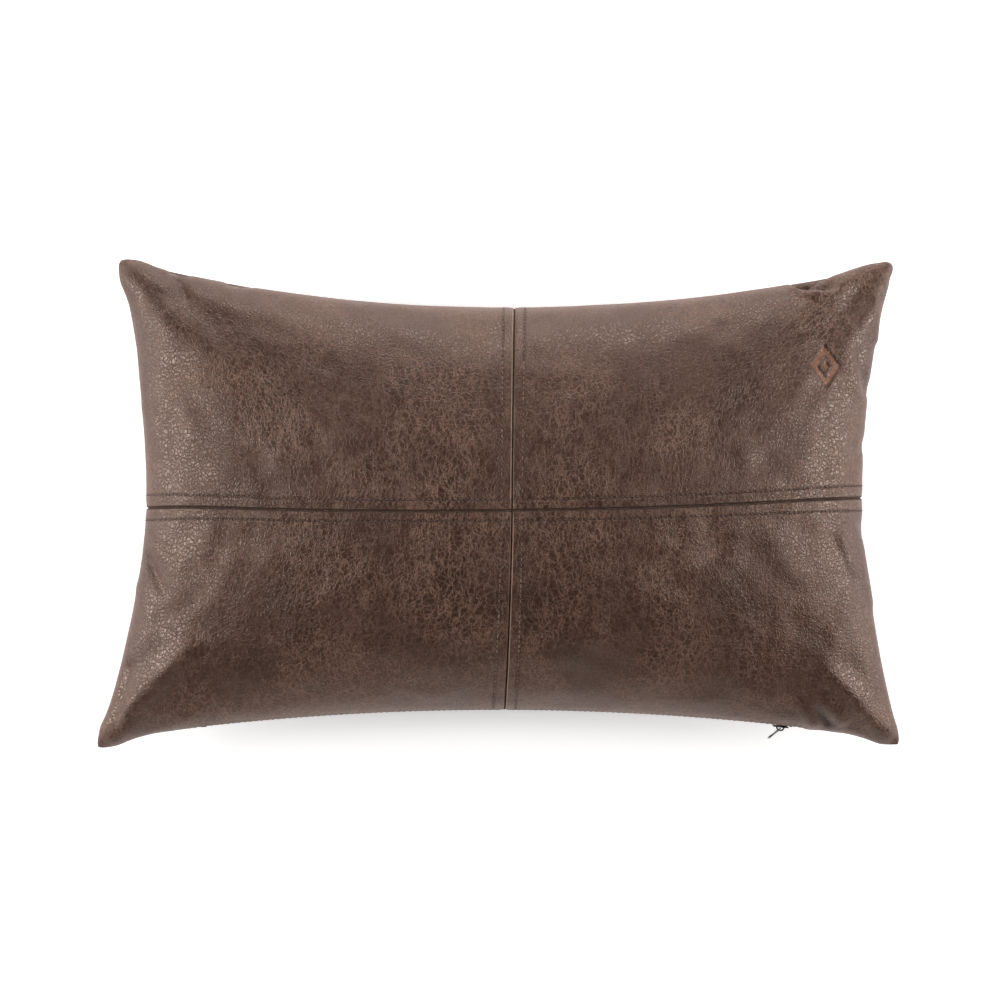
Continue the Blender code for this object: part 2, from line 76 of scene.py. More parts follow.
CUT_HALF_LENGTH, CUT_HALF_WIDTH = 0.254, 0.1525  # of the flat leather


def corner(hand, end):
    """Where a corner's two edges would meet, were its tip not rounded."""
    pull_x, pull_y = CORNER_PULL[hand, end]
    return hand * (HALF_LENGTH + TIP_CUT - pull_x), end * (HALF_WIDTH + TIP_CUT - pull_y)


REACH = corner(RIGHT, BOTTOM)[0]

# %% [markdown]
# Every skin of the pillow is one rule that turns a place on the flat leather, across and along it,
# into a place in space. NumPy works it out for a whole grid of points at once, which is far quicker
# than a loop over them in Python.


# %% The pillow's surface as one rule
def flared(share, middle, low, high, low_power, high_power):
    """An edge's offset at a share of its half length, drawn in at its middle."""
    size = np.abs(share)
    towards_low = middle + (low - middle) * size**low_power
    towards_high = middle + (high - middle) * size**high_power
    return np.where(share < 0, towards_low, towards_high)


def zip_arc(x):
    """The arc that the zip follows in the bottom edge."""
    return ZIP_CENTRE_Y + np.sqrt(ZIP_RADIUS**2 - x * x)


def bottom_edge(u):
    """The bottom edge: the zip's arc, then a little more flare towards each corner."""
    straight = ZIP_HALF_LENGTH + LIP_END_MARGIN + LIP_CLOSING
    past = np.clip((REACH * np.abs(u) - straight) / (REACH - straight), 0, None)
    extra = [corner(side, BOTTOM)[1] - zip_arc(REACH) for side in (LEFT, RIGHT)]
    return zip_arc(REACH * np.abs(u)) + np.where(u > 0, extra[1], extra[0]) * past**2


def plan(u, v, inset=0.0, bottom_inset=None):
    """x and y at u, v, which run from -1 to 1 between the edges."""
    bottom_inset = inset if bottom_inset is None else bottom_inset
    (low_left, _), (high_left, top_left) = corner(LEFT, BOTTOM), corner(LEFT, TOP)
    (low_right, _), (high_right, top_right) = corner(RIGHT, BOTTOM), corner(RIGHT, TOP)
    powers = LOWER_POWER, UPPER_POWER
    left = flared(v, LEFT_DRAW - HALF_LENGTH, low_left, high_left, *powers) + inset
    right = flared(v, HALF_LENGTH - RIGHT_DRAW, low_right, high_right, *powers) - inset
    top = flared(u, HALF_WIDTH - TOP_DRAW, top_left, top_right, UPPER_POWER, UPPER_POWER) - inset
    bottom = bottom_edge(u) + bottom_inset
    x = left + (right - left) * (u + 1) / 2
    y = bottom + (top - bottom) * (v + 1) / 2
    near_side = np.clip(1 - (1 - np.abs(u)) * HALF_LENGTH / CORNER_ROUND, 0, 1) ** 2
    near_end = np.clip(1 - (1 - np.abs(v)) * HALF_WIDTH / CORNER_ROUND, 0, 1) ** 2
    pull = TIP_CUT * near_side * near_end
    return x - np.sign(u) * pull, y - np.sign(v) * pull


def dome(u, v):
    """The swell, from 1 in the middle to 0 at the edges."""
    along = np.clip(1 - u * u, 0, 1) ** (LONG_DOME / 2)
    return along * np.clip(1 - v * v, 0, 1) ** (SHORT_DOME / 2)


SETTLING = 0.0015  # how gently the back turns into the flat that it rests on


def skin(u, v, side, inset=0.0, bottom_inset=None):
    """Points on the front or back, an inset in from the leather's face."""
    x, y = plan(u, v, inset, bottom_inset)
    if side == FRONT:
        z = SEAM_HEIGHT + (FRONT_CROWN - inset) * dome(u, v)
    else:
        swell, depth = (BACK_CROWN - inset) * dome(u, v), REST_DEPTH - inset
        z = SEAM_HEIGHT + SETTLING * np.logaddexp(-swell / SETTLING, -depth / SETTLING)
        z = z - SETTLING * np.logaddexp(0, -depth / SETTLING)
    return np.stack([x, y, z], axis=-1)


middle = skin(np.array([0.0]), np.array([0.0]), FRONT)[0]
print("height of the crown:", round(middle[2] / MM, 1), "mm")

# %% [markdown]
# A grid with even steps in u and v would be stretched over the steep edges. So the leather is laid
# out by the distance along it: a table of arc lengths turns a place on the flat, cut leather into
# u and v. The two seams of the front are not quite in the middle, and the same step puts them there.

# %% From the flat leather to the pillow
CROSS_SEAM = (-0.0013, 0.0035, 0.0023)  # its middle, tilt and bow
UPRIGHT_SEAM = (0.0050, 0.0008)


def arc_table(curve):
    """Shares from the middle to the edge, and the share of the arc's length up to each."""
    angles = np.linspace(0, math.pi / 2, 400)
    shares = np.sin(angles)
    points = curve(shares)
    lengths = np.linalg.norm(np.diff(points, axis=0), axis=1)
    travelled = np.concatenate([[0], np.cumsum(lengths)])
    return shares, travelled / travelled[-1], travelled[-1]


long_table = arc_table(lambda share: skin(share, 0 * share, FRONT))
short_table = arc_table(lambda share: skin(0 * share, share, FRONT))
print("over the front:", [round(2 * table[2] / MM) for table in (long_table, short_table)], "mm")


def share_at(table, place, half_size):
    """u or v for a distance from the seam on the flat leather."""
    shares, travelled, _ = table
    return np.sign(place) * np.interp(np.abs(place) / half_size, travelled, shares)


def height_line(u, height, side, inset=0.0):
    """v near the bottom edge where the skin is this far from the edge seam's height."""
    crown = (FRONT_CROWN if side == FRONT else BACK_CROWN) - inset
    swell = np.maximum(crown * dome(u, 0 * u), 1e-9)
    share = np.clip(np.maximum(height, 0) / swell, 0, 1)
    return -np.sqrt(1 - share ** (2 / SHORT_DOME))


def lip_height(across):
    """Height of the leather's lip beside the zip: open along it, closed past its ends."""
    past = np.abs(REACH * across) - ZIP_HALF_LENGTH - LIP_END_MARGIN
    return LIP_GAP * (1 - np.clip(past / LIP_CLOSING, 0, 1))


def shares(a, b, side, inset=0.0, lips=True):
    """u and v for places a, b on the flat leather, in metres from its seams."""
    across = share_at(long_table, a, CUT_HALF_LENGTH)
    along = share_at(short_table, b, CUT_HALF_WIDTH)
    u, v = across, along
    if side == FRONT:
        rise = CROSS_SEAM[0] + CROSS_SEAM[1] * across + CROSS_SEAM[2] * across**2
        shift = UPRIGHT_SEAM[0] + UPRIGHT_SEAM[1] * along
        u = across + shift / HALF_LENGTH * (1 - np.abs(across))
        v = along + rise / HALF_WIDTH * (1 - np.abs(along))
    if lips:
        lip = height_line(u, lip_height(across), side, inset)
        moved = np.sin(np.arcsin(np.clip(v, -1, 1)) * np.arcsin(lip) / (-math.pi / 2))
        v = np.where(v < 0, moved, v)
    return u, v


def smooth_skin(a, b, side, inset=0.0):
    """The cover before it creases, for places on the flat leather."""
    return skin(*shares(a, b, side, inset), side, inset)


# %% [markdown]
# A filled cover isn't smooth: its edges have more leather than they need once they are drawn in, so
# they gather into puckers. Modelling those by hand looks drawn on. Here a coarse copy of the whole
# cover, whose rest shape is the flat, cut leather, is blown up by the Cloth simulation. The sideways
# slack then folds by itself. Only the creases are kept: the slow drift of the whole shape is
# taken away, so the outline stays as it was measured.

# %% Let a coarse cover crease by itself
SIM_COLUMNS, SIM_ROWS = 96, 60
SIM_FRAMES = 36
CREASE_CAP = 0.0060
FINE_BLUR, DRIFT_BLUR = 0.8, 6.0  # in cells
SLACK = 1.035  # how much bigger the cut leather is than the drawn-in cover
UNEVENNESS = 0.0012  # of the start, so that the folds aren't all alike
TIP_FROM, RESTING_BELOW = 0.985, 0.0015  # what is held still: the corners' tips and the flat
CLOTH = {
    "vertex_group_mass": "held",
    "quality": 6,
    "mass": 0.25,
    "tension_stiffness": 40,
    "compression_stiffness": 40,
    "shear_stiffness": 15,
    "bending_stiffness": 1.5,
    "tension_damping": 12,
    "compression_damping": 12,
    "air_damping": 2,
    "use_pressure": True,
    "uniform_pressure_force": 5,
}


def mesh_from(bm, name):
    """Ends the building of a mesh and hands it over."""
    mesh = bpy.data.meshes.new(name)
    bm.to_mesh(mesh)
    bm.free()
    return mesh


def new_object(name, data):
    """An object in the scene for some data."""
    made = bpy.data.objects.new(name, data)
    bpy.context.scene.collection.objects.link(made)
    return made


def everything(bm):
    """All the points, edges and faces of a mesh being built."""
    return bm.verts[:] + bm.edges[:] + bm.faces[:]


def only(kind, geometry):
    """The items of one kind, out of what an operator gives back."""
    return [item for item in geometry if isinstance(item, kind)]


def coarse_cover():
    """Front and back grids joined round their edges, each point's column, row and side kept."""
    bm = bmesh.new()
    column = bm.verts.layers.int.new("column")
    row = bm.verts.layers.int.new("row")
    back = bm.verts.layers.int.new("back")
    bmesh.ops.create_grid(bm, x_segments=SIM_COLUMNS, y_segments=SIM_ROWS, size=1.0)
    for vert in bm.verts:
        vert[column] = round((vert.co.x + 1) / 2 * SIM_COLUMNS)
        vert[row] = round((vert.co.y + 1) / 2 * SIM_ROWS)
    copied = bmesh.ops.duplicate(bm, geom=everything(bm))["geom"]
    for vert in only(bmesh.types.BMVert, copied):
        vert[back] = 1
    bmesh.ops.reverse_faces(bm, faces=only(bmesh.types.BMFace, copied))
    edge = [v for v in bm.verts if v[column] in (0, SIM_COLUMNS) or v[row] in (0, SIM_ROWS)]
    bmesh.ops.remove_doubles(bm, verts=edge, dist=1e-6)
    return mesh_from(bm, "coarse_cover")


def ints(mesh, name):
    """An integer attribute as an array."""
    values = np.zeros(len(mesh.vertices), np.int32)
    mesh.attributes[name].data.foreach_get("value", values)
    return values


def places(mesh):
    """The mesh's points as an array."""
    points = np.zeros(len(mesh.vertices) * 3, np.float32)
    mesh.vertices.foreach_get("co", points)
    return points.reshape(-1, 3).astype(float)


def place_points(mesh, points):
    """Moves the mesh's points to the places in an array."""
    mesh.vertices.foreach_set("co", np.ascontiguousarray(points, np.float32).ravel())
    mesh.update()


def creased_by_simulation():
    """Movement of the coarse cover's front and back grids as the cloth settles."""
    mesh = coarse_cover()
    column, row, back = ints(mesh, "column"), ints(mesh, "row"), ints(mesh, "back")
    a = (column / SIM_COLUMNS * 2 - 1) * CUT_HALF_LENGTH
    b = (row / SIM_ROWS * 2 - 1) * CUT_HALF_WIDTH
    start = np.where(
        back[:, None] > 0,
        skin(*shares(a, b, BACK, lips=False), BACK),
        skin(*shares(a, b, FRONT, lips=False), FRONT),
    )
    uneven = np.random.default_rng(11).normal(size=len(start)) * UNEVENNESS
    place_points(mesh, start + np.array([0, 0, 1.0]) * uneven[:, None])
    cover = new_object("coarse_cover", mesh)
    cover.shape_key_add(name="Basis")
    flat = cover.shape_key_add(name="flat")
    cut = np.stack([a * SLACK, b * SLACK, SEAM_HEIGHT + 0 * a], axis=-1)
    flat.data.foreach_set("co", np.ascontiguousarray(cut, np.float32).ravel())
    flat.value = 0.0
    held = cover.vertex_groups.new(name="held")
    tip = (np.abs(a) > TIP_FROM * CUT_HALF_LENGTH) & (np.abs(b) > TIP_FROM * CUT_HALF_WIDTH)
    resting = (back > 0) & (start[:, 2] < RESTING_BELOW)
    held.add([int(i) for i in np.flatnonzero(tip | resting)], 1.0, "REPLACE")
    cloth = cover.modifiers.new("cloth", "CLOTH")
    cloth.settings.rest_shape_key = flat
    for setting, value in CLOTH.items():
        setattr(cloth.settings, setting, value)
    cloth.settings.effector_weights.gravity = 0
    cloth.collision_settings.use_collision = False
    cloth.point_cache.frame_end = SIM_FRAMES
    scene = bpy.context.scene
    for number in range(1, SIM_FRAMES + 1):
        scene.frame_set(number)
    settled = cover.evaluated_get(bpy.context.evaluated_depsgraph_get()).data
    moved = places(settled) - start
    scene.frame_set(1)
    bpy.data.objects.remove(cover)
    grids = np.zeros((2, SIM_ROWS + 1, SIM_COLUMNS + 1, 3))
    on_edge = (column % SIM_COLUMNS == 0) | (row % SIM_ROWS == 0)
    for index in (0, 1):
        mine = (back == index) | on_edge
        grids[index, row[mine], column[mine]] = moved[mine]
    return grids


def blurred(grid, radius):
    """A grid smoothed over a radius in cells, without pulling in its edges."""
    reach = int(3 * radius)
    weights = np.exp(-0.5 * (np.arange(-reach, reach + 1) / radius) ** 2)
    weights /= weights.sum()
    for axis in (0, 1):
        pad = [(0, 0)] * grid.ndim
        pad[axis] = (reach, reach)
        padded = np.pad(grid, pad, mode="edge")
        grid = np.apply_along_axis(lambda line: np.convolve(line, weights, "valid"), axis, padded)
    return grid


def only_creases(grids):
    """The movement less its slow drift, capped, and the same for front and back at the edges."""
    fine = np.stack([blurred(grid, FINE_BLUR) - blurred(grid, DRIFT_BLUR) for grid in grids])
    rows, columns = np.arange(SIM_ROWS + 1), np.arange(SIM_COLUMNS + 1)
    near_row = np.exp(-np.minimum(rows, SIM_ROWS - rows) / 2.0)[:, None]
    near_column = np.exp(-np.minimum(columns, SIM_COLUMNS - columns) / 2.0)[None, :]
    near_edge = np.maximum(near_row, near_column)[..., None]
    shared = fine.mean(axis=0)
    fine = fine + (shared - fine) * near_edge
    size = np.linalg.norm(fine, axis=-1, keepdims=True)
    return fine * (CREASE_CAP * np.tanh(size / CREASE_CAP) / np.maximum(size, 1e-9))


creases = only_creases(creased_by_simulation())
largest = np.linalg.norm(creases, axis=-1).max()
print("largest crease:", round(largest / MM, 2), "mm")

# %% [markdown]
# The simulation makes the small puckers. The large folds come from how this pillow was last pressed
# and plumped: a ridge runs in from each corner, and the edges are pinched in a few places. Each is
# one line in a table: where it starts and ends on the plan, how far it rises or sinks, and its width.

# %% Folds pressed into the front
FOLDS = (  # start x, y, end x, y, rise and width, in millimetres
    (-226, 142, -202, 110, 4.2, 9.5),
    (-202, 110, -170, 86, 2.6, 12.0),
    (-236, 124, -218, 88, -1.4, 8.0),
    (-197, 140, -192, 127, -3.6, 3.2),
    (-207, 130, -203, 118, 1.2, 5.0),
    (-202, 146, -194, 145, -2.0, 3.0),
    (-166, 138, -155, 137, -1.8, 3.0),
    (-176, 128, -160, 120, 1.2, 7.0),
    (242, 148, 214, 137, 2.4, 5.5),
    (188, 137, 206, 136, -7.5, 3.8),
    (184, 133, 197, 129, 2.0, 3.2),
    (197, 129, 212, 130, 2.2, 3.2),
    (212, 136, 232, 146, 2.0, 5.0),
    (222, 128, 196, 96, -2.6, 8.0),
    (238, 136, 226, 108, 2.0, 6.0),
    (235, 103, 233, 123, 1.4, 3.4),
    (229, 70, 223, 92, -2.2, 3.4),
    (219, 72, 214, 96, 1.3, 5.0),
    (-240, -142, -190, -88, 3.4, 8.0),
    (-206, -104, -168, -84, 1.2, 9.0),
    (-229, -101, -238, -138, -2.4, 3.6),
    (-221, -112, -230, -138, 1.2, 4.5),
    (-216, -34, -205, -54, -2.6, 3.2),
    (-210, -26, -198, -40, 1.5, 5.0),
    (-222, -52, -214, -70, 1.0, 4.5),
    (240, -142, 204, -104, 3.2, 8.0),
    (225, -122, 190, -98, 1.2, 9.0),
    (204, -136, 197, -127, -2.6, 3.0),
    (213, -133, 204, -123, 2.2, 4.2),
    (195, -135, 187, -125, 2.2, 4.4),
    (209, -20, 218, -40, 1.8, 3.0),
    (214, -56, 206, -84, 1.4, 5.0),
    (233, -60, 226, -36, 1.2, 5.0),
    (232, -22, 222, -8, -1.4, 4.0),
    (230, 38, 222, 30, -1.2, 3.6),
    (-217, 60, -208, 34, 1.0, 5.0),
)


def folded(points, hollows_only=False):
    """How far the folds lift points on the front, from their x and y."""
    lift = np.zeros(points.shape[:-1])
    place = points[..., :2] / MM
    for x0, y0, x1, y1, rise, width in FOLDS:
        if hollows_only:  # wider and deeper, to leave room for the leather over them
            rise, width = min(rise, 0) * 1.2, width * 1.5
        start, along = np.array([x0, y0]), np.array([x1 - x0, y1 - y0])
        length = np.linalg.norm(along)
        run = np.clip((place - start) @ along / length**2, -0.4, 1.4)
        nearest = start + np.clip(run, 0, 1)[..., None] * along
        away = np.linalg.norm(place - nearest, axis=-1)
        fade = 1 - np.clip(run, 0, 1) ** 2 * 0.5
        lift += rise * fade * np.exp(-((away / width) ** 2))
    return lift * MM


def cubic_weight(share, step):
    """The weight of a neighbour in a smooth cubic blend, for a share of the way between two."""
    far = np.abs(share - step)
    near_weight = 2 / 3 - far**2 + far**3 / 2
    return np.where(far < 1, near_weight, np.clip(2 - far, 0, 2) ** 3 / 6)


def crease_at(a, b, side):
    """The simulated creases' movement at places on the flat leather, smoothly between its rows."""
    grid = creases[0 if side == FRONT else 1]
    column = (a / CUT_HALF_LENGTH + 1) / 2 * SIM_COLUMNS
    row = (b / CUT_HALF_WIDTH + 1) / 2 * SIM_ROWS
    i = np.clip(np.floor(column).astype(int), 0, SIM_COLUMNS - 1)
    j = np.clip(np.floor(row).astype(int), 0, SIM_ROWS - 1)
    found = np.zeros(a.shape + (3,))
    for step_j in (-1, 0, 1, 2):
        weight_j = cubic_weight(row - j, step_j)
        for step_i in (-1, 0, 1, 2):
            weight = weight_j * cubic_weight(column - i, step_i)
            near_j = np.clip(j + step_j, 0, SIM_ROWS)
            near_i = np.clip(i + step_i, 0, SIM_COLUMNS)
            found += weight[..., None] * grid[near_j, near_i]
    return found


# %% [markdown]
# Sewing leaves its mark on leather. At a seam both edges are turned under, so the face rolls down
# into a narrow groove, and the doubled leather beside it stands up a little as far as the row of
# stitches, which pulls it down again. One function of the distance from the seam draws that profile.
# The same idea rolls the leather in at the outer edge and at the zip's lips.

# %% The profile beside a seam
PITCH = 0.0032
STITCH_OFFSET = 0.0063
SEAM_ROLL = 0.0010
MARK = dict(x=0.2003, y=0.0845, half_width=0.0098, half_height=0.0143, depth=0.0008)


def bell(distance, width):
    """1 at no distance, falling smoothly to nearly 0 at twice the width."""
    return np.exp(-((distance / width) ** 2))


def beside_seam(distance):
    """How far the face stands out or in at a distance from one of the front's two seams."""
    inside = np.clip(SEAM_ROLL - distance, 0, SEAM_ROLL)
    rolled = SEAM_ROLL - np.sqrt(SEAM_ROLL**2 - inside**2)
    doubled = 0.00030 * np.clip((0.0090 - distance) / 0.0035, 0, 1)
    pulled = 0.00026 * bell(distance - STITCH_OFFSET, 0.0008)
    valley = 0.00045 * bell(distance, 0.0040)
    slit = 0.0009 * bell(distance, 0.0004)
    return doubled - rolled - pulled - valley - slit


def beside_edge(distance):
    """How far the face rolls in at a distance from the cover's outer edge."""
    return 0.0003 * bell(distance - 0.0045, 0.0025) - 0.0011 * bell(distance, 0.0016)


def marked(points):
    """0 outside the pressed mark, a plain lozenge ring round a small lozenge, and 1 in it."""
    dx = (points[..., 0] - MARK["x"]) / MARK["half_width"]
    dy = (points[..., 1] - MARK["y"]) / MARK["half_height"]
    size = np.abs(dx) + np.abs(dy)
    ring = np.clip((1.0 - size) / 0.08, 0, 1) * np.clip((size - 0.46) / 0.08, 0, 1)
    heart = np.clip((0.27 - size) / 0.08, 0, 1)
    return np.maximum(ring, heart)


def outward(rule, a, b, side):
    """Normals of a surface rule at places on the flat leather."""
    step = 0.0004
    da = np.where(a > 0, -step, step)
    db = np.where(b > 0, -step, step)
    here = rule(a, b)
    along = (rule(a + da, b) - here) / da[..., None]
    across = (rule(a, b + db) - here) / db[..., None]
    normal = side * np.cross(along, across)
    return normal / np.maximum(np.linalg.norm(normal, axis=-1, keepdims=True), 1e-12)


def cover_face(a, b, side, seams=True):
    """The leather's face, creased and sewn, for places on the flat leather."""
    smooth = smooth_skin(a, b, side)
    normal = outward(lambda p, q: smooth_skin(p, q, side), a, b, side)
    lift = np.zeros(a.shape)
    from_edge = np.minimum(CUT_HALF_LENGTH - np.abs(a), CUT_HALF_WIDTH - np.abs(b))
    if side == FRONT:
        lift -= MARK["depth"] * marked(smooth)
        if seams:
            fade = np.clip(from_edge / 0.0040, 0.25, 1)
            lift += beside_seam(np.minimum(np.abs(a), np.abs(b))) * fade
        lift += folded(smooth) * np.clip(from_edge / 0.0028, 0, 1) ** 1.5
    lift += beside_edge(from_edge)
    moved = crease_at(a, b, side)
    beside_zip = np.clip((CUT_HALF_WIDTH + b) / 0.02, 0, 1)
    on_zip = np.clip((np.abs(a) - ZIP_HALF_LENGTH - 0.004) / 0.012, 0, 1)
    moved *= np.maximum(beside_zip, on_zip)[..., None]
    face = smooth + moved + normal * lift[..., None]
    if side == BACK:
        face[..., 2] = np.maximum(face[..., 2], 0.00004)
    return face


# %% [markdown]
# A panel is a flat grid of quads from one create_grid call. Its rows and columns lie closer together
# where the leather bends sharply, at the seam and at the edge. NumPy then moves every point on to
# the pillow, and a Solidify modifier gives the leather its thickness. The flat layout is kept as the
# UV map, so one unit of it is one metre of leather.

# %% Make a panel of leather
SEAM_LINES = MM * np.array(
    [0.02, 0.15, 0.35, 0.6, 0.9, 1.25, 1.7, 2.3, 3.1, 4.1, 5.1, 5.8, 6.3, 6.8, 7.5, 8.6]
)
EDGE_LINES = MM * np.array([0.0, 0.35, 0.8, 1.4, 2.1, 3.0, 4.1, 5.4])
FRONT_STEP, BACK_STEP, FINE_STEP = 0.0014, 0.0022, 0.00075


def panel_lines(half_size, step, fine=None, from_seam=True):
    """Distances from the seam to the edge of a panel's grid lines."""
    first = SEAM_LINES if from_seam else np.array([0.0])
    last = half_size - EDGE_LINES[::-1]
    count = round((last[0] - first[-1]) / step)
    inner = np.linspace(first[-1], last[0], count + 1)[1:-1]
    lines = np.concatenate([first, inner, last])
    if fine:
        low, high, fine_step = fine
        lines = lines[(lines < low) | (lines > high)]
        lines = np.sort(np.concatenate([lines, np.arange(low, high, fine_step)]))
    return lines


def grid_mesh(name, columns, rows, rule, side=FRONT, flat_name="cut_leather"):
    """A grid of quads on the lines given, moved by rule(a, b), with a, b as its UV map."""
    bm = bmesh.new()
    bmesh.ops.create_grid(bm, x_segments=len(columns) - 1, y_segments=len(rows) - 1, size=1.0)
    mesh = mesh_from(bm, name)
    unit = places(mesh)
    column = np.rint((unit[:, 0] + 1) / 2 * (len(columns) - 1)).astype(int)
    row = np.rint((unit[:, 1] + 1) / 2 * (len(rows) - 1)).astype(int)
    a, b = np.asarray(columns)[column], np.asarray(rows)[row]
    place_points(mesh, rule(a, b))
    corner_of = np.zeros(len(mesh.loops), np.int32)
    mesh.loops.foreach_get("vertex_index", corner_of)
    flat = np.stack([a[corner_of], b[corner_of]], axis=-1)
    mesh.uv_layers.new(name=flat_name).data.foreach_set("uv", flat.astype(np.float32).ravel())
    mesh.shade_smooth()
    if side == BACK:
        mesh.flip_normals()
    return mesh, a, b


def new_piece(name, mesh, body, replaced, finish):
    """Links a mesh as a piece of the pillow that moves with a body."""
    piece = new_object(name, mesh)
    mesh.materials.append(finish)
    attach(piece, body)
    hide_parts(*replaced)
    return piece


def finished_mesh(piece):
    """A new mesh of an object as its modifiers leave it."""
    seen = piece.evaluated_get(bpy.context.evaluated_depsgraph_get())
    return bpy.data.meshes.new_from_object(seen)


def thicken(piece, thickness):
    """Gives a sheet its thickness, inwards from its face, and makes that its real mesh."""
    modifier = piece.modifiers.new("thickness", "SOLIDIFY")
    modifier.thickness, modifier.offset = thickness, -1.0
    modifier.use_even_offset, modifier.use_rim = False, True
    sheet, finished = piece.data, finished_mesh(piece)
    piece.modifiers.clear()
    piece.data = finished
    bpy.data.meshes.remove(sheet)
    finished.set_sharp_from_angle(angle=math.radians(60))


def store(mesh, name, values):
    """Keeps one number per point for a material to read."""
    attribute = mesh.attributes.new(name, "FLOAT", "POINT")
    attribute.data.foreach_set("value", np.ascontiguousarray(values, np.float32))


def tuck_lips(mesh, a, b):
    """Rolls the leather's edge in beside the zip, where it is turned under."""
    points = places(mesh)
    distance = CUT_HALF_WIDTH + b
    open_zip = 1 - np.clip((np.abs(a) - ZIP_HALF_LENGTH - 0.004) / 0.008, 0, 1)
    points[:, 1] += 0.0007 * bell(distance, 0.0009) * open_zip
    place_points(mesh, points)


def leather_piece(name, node, columns, rows, side, finish):
    """A panel of the cover, its lips tucked in where it reaches the zip, and given its thickness."""
    mesh, a, b = grid_mesh(name, columns, rows, lambda p, q: cover_face(p, q, side), side)
    if rows[0] < -CUT_HALF_WIDTH / 2:  # it reaches the zip
        tuck_lips(mesh, a, b)
    store(mesh, "mark", marked(smooth_skin(a, b, FRONT)) if side == FRONT else 0 * a)
    piece = new_piece(name, mesh, "pillow", [node], finish)
    thicken(piece, LEATHER_THICKNESS)
    print(name, len(piece.data.polygons), "faces")


def quarter_panel(place, hand, end, finish):
    """One quarter of the front; the grid is finer where the mark is pressed."""
    marked_one = (hand, end) == (RIGHT, TOP)
    fine_columns = (0.186, 0.216, FINE_STEP) if marked_one else None
    fine_rows = (0.066, 0.108, FINE_STEP) if marked_one else None
    columns = np.sort(hand * panel_lines(CUT_HALF_LENGTH, FRONT_STEP, fine_columns))
    rows = np.sort(end * panel_lines(CUT_HALF_WIDTH, FRONT_STEP, fine_rows))
    leather_piece("leather_" + place, "front_panel_" + place, columns, rows, FRONT, finish)


def whole_back(finish):
    """The back of the cover, in one piece."""
    lines = []
    for half_size in (CUT_HALF_LENGTH, CUT_HALF_WIDTH):
        half = panel_lines(half_size, BACK_STEP, from_seam=False)
        lines.append(np.concatenate([-half[:0:-1], half]))
    leather_piece("leather_back", "back_panel", *lines, BACK, finish)


# %% [markdown]
# ## Finishes
# A finish is a Principled shader with a few nodes in front of it. The helpers here keep the node code
# short: add() makes a node and joins its inputs, new_finish() starts a material, and finish_with()
# joins what was made to its shader. Patterns read Object coordinates in metres, so a scale of 250
# means a pattern about 4 mm across.


# %% Helpers for node trees
def add(tree, kind, inputs=None, **settings):
    """Adds a shader node; each input is given a value or another node's output."""
    made = tree.nodes.new("ShaderNode" + kind)
    for name, value in settings.items():
        setattr(made, name, value)
    for key, value in (inputs or {}).items():
        if isinstance(value, bpy.types.NodeSocket):
            tree.links.new(value, made.inputs[key])
        else:
            made.inputs[key].default_value = value
    return made


def maths(tree, operation, first, second=0.0, third=0.0):
    """One sum on numbers that change over the surface."""
    return add(tree, "Math", {0: first, 1: second, 2: third}, operation=operation).outputs[0]


def times(tree, first, second):
    """A product, the commonest sum."""
    return maths(tree, "MULTIPLY", first, second)


def plus_times(tree, first, second, third):
    """first times second, plus third."""
    return maths(tree, "MULTIPLY_ADD", first, second, third)


def noise(tree, place, scale, detail, **more):
    """A cloudy number from 0 to 1; most of it is near one half."""
    inputs = {"Vector": place, "Scale": scale, "Detail": detail, **more}
    return add(tree, "TexNoise", inputs).outputs["Fac"]


def ramped(tree, value, low, high, to_low=0.0, to_high=1.0, shape="SMOOTHSTEP"):
    """A value's range turned into another range."""
    inputs = {"Value": value, "From Min": low, "From Max": high, "To Min": to_low, "To Max": to_high}
    return add(tree, "MapRange", inputs, interpolation_type=shape).outputs["Result"]


def blend(tree, share, first, second, how="MIX"):
    """Two colours mixed by a share."""
    made = add(tree, "Mix", {"Factor": share}, data_type="RGBA", blend_type=how)
    for socket, value in (("A_Color", first), ("B_Color", second)):
        found = next(item for item in made.inputs if item.identifier == socket)
        if isinstance(value, bpy.types.NodeSocket):
            tree.links.new(value, found)
        else:
            found.default_value = (*value, 1.0)
    return next(item for item in made.outputs if item.identifier == "Result_Color")


def new_finish(name, **values):
    """A material, its node tree and Object coordinates, with plain values set on its shader."""
    material = bpy.data.materials.new(name)
    material.use_nodes = True
    tree = material.node_tree
    for key, value in values.items():
        tree.nodes["Principled BSDF"].inputs[key.replace("_", " ")].default_value = value
    return material, tree, add(tree, "TexCoord").outputs["Object"]


def finish_with(tree, colour, rough=None, height=None, strength=1.0, distance=0.0001):
    """Joins a colour, a roughness and a height, as bump, to the tree's shader."""
    shader = tree.nodes["Principled BSDF"]
    tree.links.new(colour, shader.inputs["Base Color"])
    if rough:
        tree.links.new(rough, shader.inputs["Roughness"])
    if height:
        bump = add(tree, "Bump", {"Strength": strength, "Distance": distance, "Height": height})
        tree.links.new(bump.outputs["Normal"], shader.inputs["Normal"])


def new_effect(name, inputs, outputs):
    """A node group with named inputs and outputs, and its two end nodes."""
    group = bpy.data.node_groups.new(name, "ShaderNodeTree")
    for label, value in inputs.items():
        kind = "NodeSocketVector" if value is None else "NodeSocketFloat"
        socket = group.interface.new_socket(label, in_out="INPUT", socket_type=kind)
        if value is not None:
            socket.default_value = value
    for label in outputs:
        group.interface.new_socket(label, in_out="OUTPUT", socket_type="NodeSocketFloat")
    return group, group.nodes.new("NodeGroupInput"), group.nodes.new("NodeGroupOutput")


# %% [markdown]
# Two effects are shared. "Mottling" is a slow, uneven tone, as in dyed leather, handled metal and
# washed cotton. "Weave" draws over-and-under threads from two sets of waves half a step apart, and
# serves the zip's tape and the insert's casing. Each is a node group with its own inputs.


